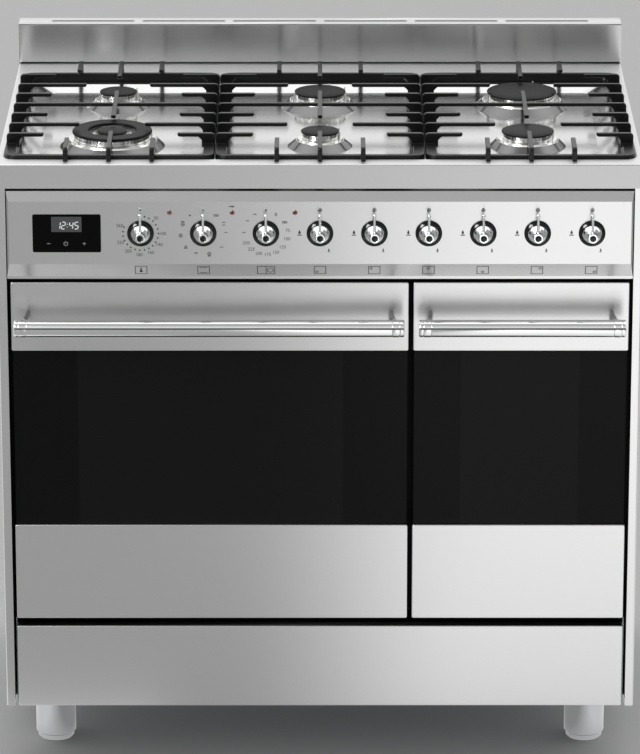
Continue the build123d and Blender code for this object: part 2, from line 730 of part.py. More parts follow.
def well_outline(inset):
    """Rounded outline of the hob well, drawn in evenly."""
    radius = max(WELL_RADIUS - inset, WELL_FLOOR_RADIUS)
    return RectangleRounded(2 * (WELL_HALF - inset), WELL_DEPTH - 2 * inset, radius)


def well_room(wall):
    """Space of the stepped and sloped well, grown by the sheet when wall is set."""
    top = WORKTOP if wall else WORKTOP + SHEET
    ledge = layer(well_outline(-wall), (LEDGE_Z - wall, top), 0, WELL_MIDDLE)
    high = Pos(*spot(0, WELL_MIDDLE, LEDGE_Z)) * well_outline(LEDGE_WIDTH - wall)
    low = Pos(*spot(0, WELL_MIDDLE, PAN_Z - wall)) * well_outline(LEDGE_WIDTH + PAN_SLOPE - wall)
    return ledge + loft([high.face(), low.face()])


def hob_top():
    """Worktop sheet with skirts, a stepped well and a pressed conical boss at each burner."""
    z = (APRON_BOTTOM, WORKTOP)
    outer = block((-HALF, HALF), (0, BODY_DEPTH), z)
    outer = fillet(outer.edges().filter_by(Axis.Z).group_by(Axis.Y)[0], CORNER_BEND)
    outer = fillet(outer.faces().sort_by(Axis.Z)[-1].edges(), CORNER_BEND)
    under = block(
        (SHEET - HALF, HALF - SHEET), (SHEET, BODY_DEPTH - SHEET), (APRON_BOTTOM - SHEET, WORKTOP - SHEET)
    )
    sheet = outer - under + well_room(SHEET) - well_room(0)
    for column, row, cap, foot in BURNERS.values():
        x = hob_column(column)
        depth = burner_depth(row)
        cone = Cone(foot, cap + BOSS_MARGIN, BOSS_HEIGHT, align=ON_BASE)
        boss = Pos(*spot(x, depth, PAN_Z)) * cone
        room = Pos(*spot(x, depth, PAN_Z - SHEET)) * cone
        hole = rod((x, depth, PAN_Z - 2 * SHEET), (x, depth, WORKTOP), cap - CUP_INSET + SEAT_GAP)
        sheet = sheet + boss - room - hole
    return sheet


def splashback():
    """Upstand along the rear edge: a hollow channel with vent slots in its top and a gap at its foot."""
    front = BODY_DEPTH - SPLASH_DEPTH
    top = WORKTOP + SPLASH_HEIGHT
    shell = block((-HALF, HALF), (front, BODY_DEPTH), (WORKTOP, top))
    shell = fillet(shell.edges().filter_by(Axis.X).group_by(Axis.Z)[-1].sort_by(Axis.Y)[0], CORNER_BEND)
    inside = (SHEET - HALF, HALF - SHEET)
    below = WORKTOP - SHEET
    shell -= block(inside, (front + SHEET, BODY_DEPTH - SHEET), (below, top - SHEET))
    shell -= block(inside, (front - SHEET, front + 2 * SHEET), (below, WORKTOP + SPLASH_FOOT_GAP))
    slots = Sketch() + GridLocations(VENT_PITCH, 1, VENT_COUNT, 1) * SlotOverall(VENT_LENGTH, VENT_WIDTH)
    return shell - layer(slots, (top - 2 * SHEET, top + SHEET), 0, (front + BODY_DEPTH) / 2)


def burner_cup(name):
    """Cast mixing cup hanging in the hob, with a wide flange on the pressed boss."""
    column, row, cap, _ = BURNERS[name]
    flange = cap + FLANGE_MARGIN
    body = cap - CUP_INSET
    top = CUP_LENGTH + FLANGE_HEIGHT
    outline = [(0, 0), (body - CUP_TAPER, 0), (body, CUP_TAPER), (body, CUP_LENGTH)]
    outline += [(flange, CUP_LENGTH), (flange - FLANGE_HEIGHT / 2, top), (0, top)]
    return Pos(*spot(hob_column(column), burner_depth(row), CUP_BOTTOM)) * turned(outline)


def crown(outer, inner, both_sides=False):
    """Ring of flame ports: slots are cut into the top of its outer wall, and the inner one if asked."""
    outline = [(inner, 0), (outer - CROWN_FOOT, 0), (outer, CROWN_FOOT), (outer, CROWN_HEIGHT)]
    outline += [(inner, CROWN_HEIGHT)]
    ring = turned(outline)
    count = int(2 * pi * outer / PORT_PITCH)
    length = outer - inner + 2 * CUT_MARGIN if both_sides else CROWN_WALL
    middle = outer + CUT_MARGIN - length / 2
    port = Box(length, PORT_WIDTH, PORT_DEPTH, align=(Align.CENTER, Align.CENTER, Align.MAX))
    cuts = PolarLocations(middle, count) * (Pos(0, 0, CROWN_HEIGHT) * port)
    return ring - cuts


def burner_crown(name):
    """Aluminium crown of one burner. The wok burner has an outer ring and a small inner crown."""
    column, row, cap, _ = BURNERS[name]
    place = Pos(*spot(hob_column(column), burner_depth(row), CROWN_Z))
    if name == WOK:
        ring = crown(cap - CROWN_INSET, WOK_RING_HOLE + CROWN_INSET, True)
        middle = crown(WOK_INNER_CAP - CROWN_INSET, WOK_INNER_CAP / 2)
        return [place * ring, place * middle]
    return [place * crown(cap - CROWN_INSET, cap / 2)]


def cap_disc(outer, inner=0.0):
    """Low domed cap, a ring when inner is set."""
    edge = CAP_HEIGHT - CAP_DOME
    if inner:
        outline = [(inner, 0), (outer, 0), (outer, edge), (outer - CAP_DOME, CAP_HEIGHT)]
        outline += [(inner + CAP_DOME, CAP_HEIGHT), (inner, edge)]
        return turned(outline)
    return domed(outer, edge, CAP_HEIGHT)


def burner_cap(name):
    """Enamelled cap of one burner."""
    column, row, cap, _ = BURNERS[name]
    place = Pos(*spot(hob_column(column), burner_depth(row), CAP_Z))
    if name == WOK:
        return [place * cap_disc(cap, WOK_RING_HOLE), place * cap_disc(WOK_INNER_CAP)]
    return [place * cap_disc(cap)]


def burner_probes(name):
    """Spark electrode and flame probe standing on the cup's flange beside the cap."""
    column, row, cap, _ = BURNERS[name]
    radius = cap + (FLANGE_MARGIN - FLANGE_HEIGHT / 2) / 2
    tip = 2 * PROBE_HEIGHT
    outline = [(0, 0), (PROBE_RADIUS, 0), (PROBE_RADIUS, PROBE_HEIGHT), (PROBE_PIN, PROBE_HEIGHT)]
    outline += [(PROBE_PIN, tip), (0, tip)]
    probes = []
    for angle in PROBE_ANGLES:
        x = hob_column(column) + radius * cos(radians(angle))
        depth = burner_depth(row) + radius * sin(radians(angle))
        probes.append(Pos(*spot(x, depth, CROWN_Z)) * turned(outline))
    return probes


def finger_profile(root, tip, foot_z, root_width):
    """Side outline of a support finger: a rounded root post and a slim bar to the tip."""
    top = WORKTOP + FINGER_TOP
    low = top - FINGER_HEIGHT
    way = 1 if tip > root else -1
    corner = root + way * FINGER_CORNER
    back = root + way * root_width
    points = [(corner, top), (tip, top), (tip, low + FINGER_TIP), (tip - way * FINGER_TIP, low)]
    points += [(back + way * FINGER_CORNER, low), (back, low - FINGER_CORNER), (back, foot_z)]
    points += [(root, foot_z), (root, top - FINGER_CORNER)]
    bend = FINGER_CORNER * (1 - cos(pi / 4))
    round_off = ThreePointArc((root, top - FINGER_CORNER), (root + way * bend, top - bend), (corner, top))
    return make_face(Polyline(*points) + round_off)


def cross_finger(root, tip, depth):
    """Finger that runs along x from a side bar, or from bar to bar."""
    foot = LEDGE_Z + SUPPORT_BAR_HEIGHT / 2
    outline = finger_profile(root, tip, foot, FINGER_ROOT)
    return slab(outline, (depth - FINGER_WIDTH / 2, depth + FINGER_WIDTH / 2))


def end_finger(x, root, tip):
    """Finger that runs back from the front rim or forward from the rear rim."""
    outline = finger_profile(root, tip, WORKTOP + SEAT_GAP, END_FOOT + SUPPORT_BAR)
    plane = Plane(origin=spot(x - FINGER_WIDTH / 2, 0, 0), x_dir=(0, 1, 0), z_dir=(1, 0, 0))
    return extrude(plane * outline, amount=FINGER_WIDTH)


def pan_support(column):
    """Cast pan support: a low frame with broad side rails in the well, and fingers towards both burners."""
    centre = hob_column(column)
    half = SUPPORT_WIDTH / 2
    outer = RectangleRounded(SUPPORT_WIDTH, SUPPORT_DEPTH, SUPPORT_RADIUS)
    inner = RectangleRounded(
        SUPPORT_WIDTH - 2 * SUPPORT_RAIL, SUPPORT_DEPTH - 2 * SUPPORT_BAR, SUPPORT_RADIUS - SUPPORT_BAR
    )
    foot = LEDGE_Z + SEAT_GAP
    pieces = [layer(outer - inner, (foot, foot + SUPPORT_BAR_HEIGHT), centre, WELL_MIDDLE)]
    middle = burner_depth(0.5)
    for step in (-3, -2, -1, 1, 2, 3):
        reach = half - FINGER_RING if abs(step) == 2 else SHORT_FINGER
        for side in (-1, 1):
            root = centre + side * half
            pieces.append(cross_finger(root, root - side * reach, middle + FINGER_PITCH * step))
    for side in (-1, 1):
        pieces.append(cross_finger(centre + side * half, centre - side * FINGER_WIDTH, middle))
    low = WORKTOP + FINGER_TOP - FINGER_HEIGHT
    along = (middle - CENTRE_BAR / 2, middle + CENTRE_BAR / 2)
    pieces.append(
        block((centre - FINGER_WIDTH / 2, centre + FINGER_WIDTH / 2), along, (low, WORKTOP + FINGER_TOP))
    )
    front = WELL_MIDDLE - SUPPORT_DEPTH / 2 - END_FOOT
    rear = WELL_MIDDLE + SUPPORT_DEPTH / 2 + END_FOOT
    for step in (-1, 0, 1):
        reach = END_FOOT + (END_FINGER_REACH if step == 0 else END_FINGER_LENGTH)
        x = centre + END_FINGER_PITCH * step
        pieces.append(end_finger(x, front, front + reach))
        pieces.append(end_finger(x, rear, rear - reach))
    return joined(pieces)


def hipped_block(inset):
    """Raised front of the control panel: a low frustum, drawn in by the sheet when inset is set."""
    foot = PANEL_BOTTOM + PANEL_LIP
    side = PANEL_HALF - inset
    face_side = PANEL_HALF - PANEL_SIDE_BEVEL - inset
    face_low = foot + PANEL_BOTTOM_BEVEL + inset
    face_high = PANEL_TOP - PANEL_TOP_BEVEL - inset
    low = foot + inset
    high = PANEL_TOP - inset
    base = Pos(0, (low + high) / 2) * Rectangle(2 * side, high - low)
    face = Pos(0, (face_low + face_high) / 2) * Rectangle(2 * face_side, face_high - face_low)
    back = Plane(origin=spot(0, 0, 0), x_dir=(1, 0, 0), z_dir=(0, -1, 0))
    front = back.offset(PANEL_RISE - inset)
    return loft([(back * base).face(), (front * face).face()])


def control_panel():
    """Hipped front panel with a lip, returns to the front frame and holes for the controls."""
    across = (-PANEL_HALF, PANEL_HALF)
    inside = (SHEET - PANEL_HALF, PANEL_HALF - SHEET)
    box = block(across, (0, FRAME_FACE), (PANEL_BOTTOM, PANEL_TOP))
    room = block(inside, (SHEET, FRAME_FACE + SHEET), (PANEL_BOTTOM + SHEET, PANEL_TOP - SHEET))
    mouth = hipped_block(SHEET)
    opening = block(
        inside, (-RUNNING_GAP, 2 * SHEET), (PANEL_BOTTOM + PANEL_LIP + SHEET, PANEL_TOP - SHEET)
    )
    panel = box + hipped_block(0) - room - mouth - opening
    through = (PANEL_FACE - SHEET, PANEL_INSIDE + SHEET)
    for x in OVEN_KNOBS + GAS_KNOBS:
        panel -= slab(Circle(SPINDLE_HOLE), through, x, KNOB_Z)
    for x in lamp_places():
        panel -= slab(Circle(LAMP_RADIUS), through, x, KNOB_Z + LAMP_RISE)
    window = RectangleRounded(CLOCK_WIDTH, CLOCK_HEIGHT, CORNER_BEND)
    return panel - slab(window, through, CLOCK_CENTRE, KNOB_Z)


def lamp_places():
    """X of each pilot lamp."""
    return [x + LAMP_SIDE for x in OVEN_KNOBS]


def clock_module():
    """Clock glass in its window and the housing behind it."""
    glass = RectangleRounded(
        CLOCK_WIDTH - 2 * SEAT_GAP, CLOCK_HEIGHT - 2 * SEAT_GAP, CORNER_BEND - SEAT_GAP
    )
    housing = Rectangle(CLOCK_WIDTH + 2 * CLOCK_HOUSING_MARGIN, CLOCK_HEIGHT + 2 * CLOCK_HOUSING_MARGIN)
    return [
        slab(glass, (PANEL_FACE - CLOCK_PROUD, PANEL_INSIDE), CLOCK_CENTRE, KNOB_Z),
        slab(housing, (PANEL_INSIDE, PANEL_INSIDE + CLOCK_HOUSING_DEPTH), CLOCK_CENTRE, KNOB_Z),
    ]


def indicator_lamp(x):
    """Pilot lamp lens with a flange behind the panel."""
    body = LAMP_RADIUS - SEAT_GAP / 2
    flange = Cylinder(LAMP_FLANGE, SHEET, align=ON_BASE)
    lens = domed(body, 2 * SHEET, 2 * SHEET + LAMP_DOME)
    return outward(x, KNOB_Z + LAMP_RISE, PANEL_INSIDE + SHEET) * (flange + lens)


def bezel(x):
    """Rounded ring round a knob, flat on the panel."""
    crest = ((BEZEL_OUTER + BEZEL_INNER) / 2, BEZEL_HEIGHT)
    start = (BEZEL_OUTER, BEZEL_HEIGHT / 2)
    end = (BEZEL_INNER, BEZEL_HEIGHT / 2)
    side = Polyline(start, (BEZEL_OUTER, 0), (BEZEL_INNER, 0), end)
    ring = revolve(Plane.XZ * make_face(side + ThreePointArc(end, crest, start)), Axis.Z)
    return outward(x, KNOB_Z, PANEL_FACE) * ring


def knob(x, spindle_end):
    """Domed knob with a hub, a pointer ending in a ball, a dot in its front, and its spindle."""
    place = outward(x, KNOB_Z, PANEL_FACE)
    skirt = (KNOB_BASE_RADIUS, KNOB_LIFT + KNOB_SKIRT)
    neck = (HUB_RADIUS, SHOULDER)
    rim = (HUB_RADIUS - HUB_EDGE, KNOB_HEIGHT)
    swell = ((skirt[0] + neck[0]) / 2 + KNOB_BULGE, (skirt[1] + neck[1]) / 2 + KNOB_BULGE)
    hub = Polyline(neck, (HUB_RADIUS, KNOB_HEIGHT - HUB_EDGE), rim)
    rest = Polyline(rim, (0, KNOB_HEIGHT), (0, KNOB_LIFT), (KNOB_BASE_RADIUS, KNOB_LIFT), skirt)
    body = revolve(Plane.XZ * make_face(ThreePointArc(skirt, swell, neck) + hub + rest), Axis.Z)
    half = POINTER_WIDTH / 2
    tip = POINTER_TIP_WIDTH / 2
    slope = Polyline((-half, 0), (half, 0), (tip, POINTER_REACH), (-tip, POINTER_REACH), close=True)
    lever = extrude(Pos(0, 0, SHOULDER - POINTER_SINK) * make_face(slope), amount=POINTER_HEIGHT)
    ball = Pos(0, POINTER_REACH, SHOULDER + half) * Sphere(POINTER_BALL)
    dot_z = KNOB_HEIGHT - DOT_RECESS
    recess = Pos(0, 0, dot_z) * Cylinder(DOT_RADIUS, KNOB_HEIGHT, align=ON_BASE)
    bore_end = dot_z - DOT_RECESS
    bore_start = KNOB_LIFT - CUT_MARGIN
    bore = Pos(0, 0, bore_start) * Cylinder(SPINDLE_RADIUS, bore_end - bore_start, align=ON_BASE)
    shell = joined([body, lever, ball]) - recess - bore
    dot = domed(DOT_RADIUS, DOT_RECESS, DOT_RECESS + DOT_DOME)
    inside = spindle_end - PANEL_FACE
    spindle = Pos(0, 0, -inside) * Cylinder(SPINDLE_RADIUS, inside + bore_end, align=ON_BASE)
    return [place * shell, place * Pos(0, 0, dot_z) * dot, place * spindle]


def oven_switch(x):
    """Thermostat or selector body behind the panel, with a bore for its spindle."""
    depth = (PANEL_INSIDE, PANEL_INSIDE + SWITCH_DEPTH)
    body = slab(RectangleRounded(SWITCH_SIZE, SWITCH_SIZE, CORNER_BEND), depth, x, KNOB_Z)
    bore = Circle(SPINDLE_RADIUS + RUNNING_GAP)
    return body - slab(bore, (PANEL_INSIDE - SHEET, TAP_FRONT + 2 * SPINDLE_SINK), x, KNOB_Z)


def gas_tap(x):
    """Brass tap on the rail, with an outlet on top and a bore for its spindle."""
    half = TAP_SIZE / 2
    back = TAP_FRONT + TAP_LENGTH
    body = slab(RectangleRounded(TAP_SIZE, TAP_SIZE, CORNER_BEND), (TAP_FRONT, back), x, KNOB_Z)
    depth = back - half
    outlet = rod((x, depth, KNOB_Z), (x, depth, KNOB_Z + half + TAP_OUTLET_RISE), TAP_OUTLET_RADIUS)
    sink = TAP_FRONT + SPINDLE_SINK + KNOB_PUSH + SWING_GAP
    room = slab(Circle(SPINDLE_RADIUS + SEAT_GAP), (TAP_FRONT - CUT_MARGIN, sink), x, KNOB_Z)
    return body + outlet - room


def gas_rail():
    """Manifold along the front, held by a bracket to the front frame at each end, with its taps."""
    reach = TRIM_EDGE - CONTROL_OPENING_INSET / 2
    rail = rod((-reach, RAIL_DEPTH, KNOB_Z), (reach, RAIL_DEPTH, KNOB_Z), RAIL_RADIUS)
    end = CONTROL_OPENING_INSET / 4
    brackets = [
        block(
            (side * reach - end, side * reach + end),
            (LINER_FRONT, RAIL_DEPTH - RAIL_RADIUS),
            (KNOB_Z - RAIL_RADIUS, KNOB_Z + RAIL_RADIUS),
        )
        for side in (-1, 1)
    ]
    return [rail, *brackets, *[gas_tap(x) for x in GAS_KNOBS]]


def tap_collar(x):
    """Drive collar that turns on the front of a tap and lets the spindle slide through it."""
    back = TAP_FRONT - SEAT_GAP
    ring = Circle(COLLAR_RADIUS) - Circle(SPINDLE_RADIUS + RUNNING_GAP)
    return slab(ring, (back - COLLAR_LENGTH, back), x, KNOB_Z)


def gas_pipes():
    """One bent pipe from each tap to its burner, and the feed from the inlet to the rail."""
    depth = TAP_FRONT + TAP_LENGTH - TAP_SIZE / 2
    start = KNOB_Z + TAP_SIZE / 2 + TAP_OUTLET_RISE
    pipes = []
    for x, (column, row, _, _) in zip(GAS_KNOBS, BURNERS.values()):
        over = start + PIPE_LOW + (PIPE_STEP if column >= 0 and row == 0 else 0)
        end_x = hob_column(column)
        end = burner_depth(row)
        route = [(x, depth, start), (x, depth, over), (end_x, end, over), (end_x, end, CUP_BOTTOM)]
        pipes.append(tube_along(route, PIPE_RADIUS, PIPE_BEND))
    x = TRIM_EDGE - FEED_INSET
    inlet = APRON_BOTTOM - INLET_DROP
    back = BACK_FACE - SHEET
    feed = [(x, back, inlet), (x, RAIL_DEPTH, inlet), (x, RAIL_DEPTH, KNOB_Z + RAIL_RADIUS)]
    return [*pipes, tube_along(feed, 2 * PIPE_RADIUS, 2 * PIPE_BEND)]


def rear_connections():
    """Threaded gas inlet with its nut, and the terminal box, both inside the back recess."""
    x = TRIM_EDGE - FEED_INSET
    z = APRON_BOTTOM - INLET_DROP
    nut = slab(RegularPolygon(INLET_NUT, 6), (BACK_FACE, BACK_FACE + INLET_NUT_HEIGHT), x, z)
    stub = slab(Circle(INLET_RADIUS), (BACK_FACE, BACK_FACE + INLET_NUT_HEIGHT + INLET_LENGTH), x, z)
    bore = slab(Circle(INLET_BORE), (BACK_FACE - CUT_MARGIN, BODY_DEPTH), x, z)
    box = slab(
        RectangleRounded(TERMINAL_WIDTH, TERMINAL_HEIGHT, CORNER_BEND),
        (BACK_FACE, BACK_FACE + TERMINAL_DEPTH),
        -TRIM_EDGE + TERMINAL_SIDE,
        z - TERMINAL_HEIGHT,
    )
    box = fillet(box.faces().sort_by(Axis.Y)[-1].edges(), CORNER_BEND)
    return [nut + stub - bore, box]


def door_pan(span, z, depth):
    """Folded front skin: a flat sheet with rounded front edges and returns on all sides."""
    width = span[1] - span[0]
    height = z[1] - z[0]
    middle = sum(span) / 2
    level = sum(z) / 2
    outer = slab(RectangleRounded(width, height, CORNER_BEND), (0, depth), middle, level)
    outer = fillet(outer.faces().sort_by(Axis.Y)[0].edges(), SKIN_EDGE)
    room = RectangleRounded(width - 2 * SHEET, height - 2 * SHEET, CORNER_BEND - SHEET)
    return outer - slab(room, (SHEET, depth + SHEET), middle, level)


def door_skins(span):
    """Upper and lower steel skins of a door."""
    return [
        door_pan(span, (DOOR_TOP - TOP_SKIN_HEIGHT, DOOR_TOP), SKIN_DEPTH),
        door_pan(span, (DOOR_BOTTOM, DOOR_BOTTOM + BOTTOM_SKIN_HEIGHT), SKIN_DEPTH),
    ]


def window(span, grow=0.0):
    """Outline of a door's window with its centre, grown evenly on all sides."""
    low = DOOR_BOTTOM + WINDOW_BOTTOM
    high = DOOR_TOP - WINDOW_TOP
    width = span[1] - span[0] - 2 * WINDOW_SIDE
    outline = RectangleRounded(width + 2 * grow, high - low + 2 * grow, WINDOW_RADIUS)
    return outline, sum(span) / 2, (low + high) / 2


def door_glass(span):
    """Outer pane over the whole door behind the skins, and the inner pane behind the window."""
    front = SKIN_DEPTH
    width = span[1] - span[0] - 2 * SHEET
    outer = RectangleRounded(width, DOOR_HEIGHT - 2 * SHEET, CORNER_BEND)
    pane, x, z = window(span, PANE_OVERLAP)
    back = DOOR_THICKNESS - SHEET
    return [
        slab(outer, (front, front + GLASS), sum(span) / 2, (DOOR_BOTTOM + DOOR_TOP) / 2),
        slab(pane, (back - GLASS, back), x, z),
    ]


def hinge_places(span):
    """X of both hinges of a door."""
    return (span[0] + HINGE_INSET, span[1] - HINGE_INSET)


def door_frame(span):
    """Pressed inner frame of a door with its window, hinge cheeks and hinge pins."""
    front = SKIN_DEPTH + GLASS
    x = sum(span) / 2
    z = (DOOR_BOTTOM + DOOR_TOP) / 2
    width = span[1] - span[0] - 2 * SHEET
    height = DOOR_HEIGHT - 2 * SHEET
    tray = slab(RectangleRounded(width, height, CORNER_BEND), (front, DOOR_THICKNESS), x, z)
    room = RectangleRounded(width - 2 * SHEET, height - 2 * SHEET, CORNER_BEND - SHEET)
    tray -= slab(room, (front - SHEET, DOOR_THICKNESS - SHEET), x, z)
    hole, hole_x, hole_z = window(span)
    tray -= slab(hole, (front, DOOR_THICKNESS + SHEET), hole_x, hole_z)
    pins = []
    slot = BRACKET / 2 + SEAT_GAP + HINGE_PLAY
    cheek = slot + HINGE_CHEEK
    reach = HINGE_EYE + SWING_GAP
    for hinge in hinge_places(span):
        block_z = (DOOR_BOTTOM + SHEET, PIVOT_Z + reach + SHEET)
        tray += block((hinge - cheek, hinge + cheek), (front, DOOR_THICKNESS), block_z)
        tray -= block(
            (hinge - slot, hinge + slot),
            (PIVOT_DEPTH - reach, DOOR_THICKNESS + SHEET),
            (DOOR_BOTTOM - SHEET, PIVOT_Z + reach),
        )
        pin = rod((hinge - cheek, PIVOT_DEPTH, PIVOT_Z), (hinge + cheek, PIVOT_DEPTH, PIVOT_Z), HINGE_PIN)
        tray -= pin
        pins.append(pin)
    return [tray, *pins]


def hinge_bracket(x):
    """Fixed hinge arm on the frame's sill, with an eye round the door's pin."""
    across = (x - BRACKET / 2, x + BRACKET / 2)
    sill = STEP_BACK - SHEET
    eye = rod((across[0], PIVOT_DEPTH, PIVOT_Z), (across[1], PIVOT_DEPTH, PIVOT_Z), HINGE_EYE)
    neck = block(across, (PIVOT_DEPTH, sill), (PIVOT_Z - BRACKET_NECK / 2, PIVOT_Z + BRACKET_NECK / 2))
    foot = block(
        (x - BRACKET_FOOT / 2, x + BRACKET_FOOT / 2),
        (sill - 2 * SHEET, sill),
        (PIVOT_Z - BRACKET_FOOT_HEIGHT / 2, PIVOT_Z + BRACKET_FOOT_HEIGHT / 2),
    )
    bore = rod(
        (x - BRACKET, PIVOT_DEPTH, PIVOT_Z), (x + BRACKET, PIVOT_DEPTH, PIVOT_Z), HINGE_PIN + RUNNING_GAP
    )
    return joined([eye, neck, foot]) - bore


def door_handle(span):
    """Tubular bar with a collar and a cap at each end, on two posts with rosettes."""
    ends = (span[0] + HANDLE_MARGIN, span[1] - HANDLE_MARGIN)
    depth = -HANDLE_STANDOFF
    fitting = HANDLE_CAP + HANDLE_COLLAR
    tube = (ends[0] + fitting, ends[1] - fitting)
    outside = rod((tube[0], depth, HANDLE_Z), (tube[1], depth, HANDLE_Z), HANDLE_RADIUS)
    bar = outside - rod((tube[0], depth, HANDLE_Z), (tube[1], depth, HANDLE_Z), HANDLE_RADIUS - HANDLE_WALL)
    wide = HANDLE_RADIUS + HANDLE_COLLAR_STEP
    groove = HANDLE_RADIUS - HANDLE_GROOVE
    outline = [(0, 0), (HANDLE_RADIUS - HANDLE_EDGE, 0), (HANDLE_RADIUS, HANDLE_EDGE)]
    outline += [(HANDLE_RADIUS, HANDLE_CAP - HANDLE_GROOVE), (groove, HANDLE_CAP - HANDLE_GROOVE)]
    outline += [(groove, HANDLE_CAP), (wide, HANDLE_CAP)]
    outline += [(wide, fitting), (0, fitting)]
    cap = turned(outline)
    solids = [bar]
    for end, way in zip(ends, (1, -1)):
        plane = Plane(origin=spot(end, depth, HANDLE_Z), z_dir=(way, 0, 0))
        solids.append(plane.location * cap)
        x = end + way * (HANDLE_CAP + HANDLE_COLLAR / 2)
        post = rod((x, depth, HANDLE_Z), (x, 0, HANDLE_Z), POST_RADIUS)
        rosette = rod((x, -ROSETTE_HEIGHT, HANDLE_Z), (x, 0, HANDLE_Z), ROSETTE_RADIUS)
        seat = rod((x - fitting, depth, HANDLE_Z), (x + fitting, depth, HANDLE_Z), wide)
        solids.append(post + rosette - seat)
    return solids


def drawer_box():
    """Drawer tray with a front plate and a lip along each side that runs on the guides."""
    plate = block(
        (SHEET - DOOR_HALF, DOOR_HALF - SHEET),
        (DRAWER_FRONT_DEPTH, DRAWER_FRONT_DEPTH + SHEET),
        (FOOT_HEIGHT + SHEET, DRAWER_TOP - SHEET),
    )
    half = DOOR_HALF - DRAWER_BOX_INSET
    depth = (DRAWER_FRONT_DEPTH, DRAWER_FRONT_DEPTH + DRAWER_BOX_DEPTH)
    floor = FOOT_HEIGHT + DRAWER_FLOOR_RISE
    z = (floor, floor + DRAWER_BOX_HEIGHT)
    tray = block((-half, half), depth, z)
    room = block(
        (SHEET - half, half - SHEET),
        (DRAWER_FRONT_DEPTH + SHEET, depth[1] - SHEET),
        (floor + SHEET, z[1] + SHEET),
    )
    lips = [
        block((x, x + DRAWER_LIP), (depth[0] + 2 * SWING_GAP + SHEET, depth[1]), (z[1] - SHEET, z[1]))
        for x in (-half - DRAWER_LIP, half)
    ]
    return joined([plate, tray, *lips]) - room


def drawer_guide(side):
    """Angle rail on the bay wall that carries a drawer lip."""
    wall = BAY_HALF - SHEET
    front = DRAWER_FRONT_DEPTH + 2 * SWING_GAP + 2 * SHEET
    depth = (front, BACK_FACE - SHEET - GUIDE_END)
    top = FOOT_HEIGHT + DRAWER_FLOOR_RISE + DRAWER_BOX_HEIGHT - SHEET - SEAT_GAP
    web = block((wall - SHEET, wall), depth, (top - GUIDE_DROP, top + GUIDE_UPSTAND))
    ledge = block((wall - GUIDE_LEDGE, wall), depth, (top - SHEET, top))
    guide = web + ledge
    return guide if side > 0 else mirror(guide, Plane.YZ)


def levelling_foot(x, depth):
    """Round sleeve under the base and the pad on its stem inside it."""
    place = Pos(*spot(x, depth, 0))
    stem_top = PAD_HEIGHT + STEM_LENGTH
    bore = STEM_RADIUS + RUNNING_GAP
    sleeve = turned(
        [
            (bore, PAD_HEIGHT),
            (FOOT_RADIUS - FOOT_EDGE, PAD_HEIGHT),
            (FOOT_RADIUS, PAD_HEIGHT + FOOT_EDGE),
            (FOOT_RADIUS, FOOT_HEIGHT),
            (0, FOOT_HEIGHT),
            (0, stem_top + SWING_GAP),
            (bore, stem_top + SWING_GAP),
        ]
    )
    pad = turned(
        [
            (0, 0),
            (PAD_RADIUS - FOOT_EDGE, 0),
            (PAD_RADIUS, FOOT_EDGE),
            (PAD_RADIUS, PAD_HEIGHT),
            (STEM_RADIUS, PAD_HEIGHT),
            (STEM_RADIUS, stem_top),
            (0, stem_top),
        ]
    )
    return [place * sleeve, place * pad]


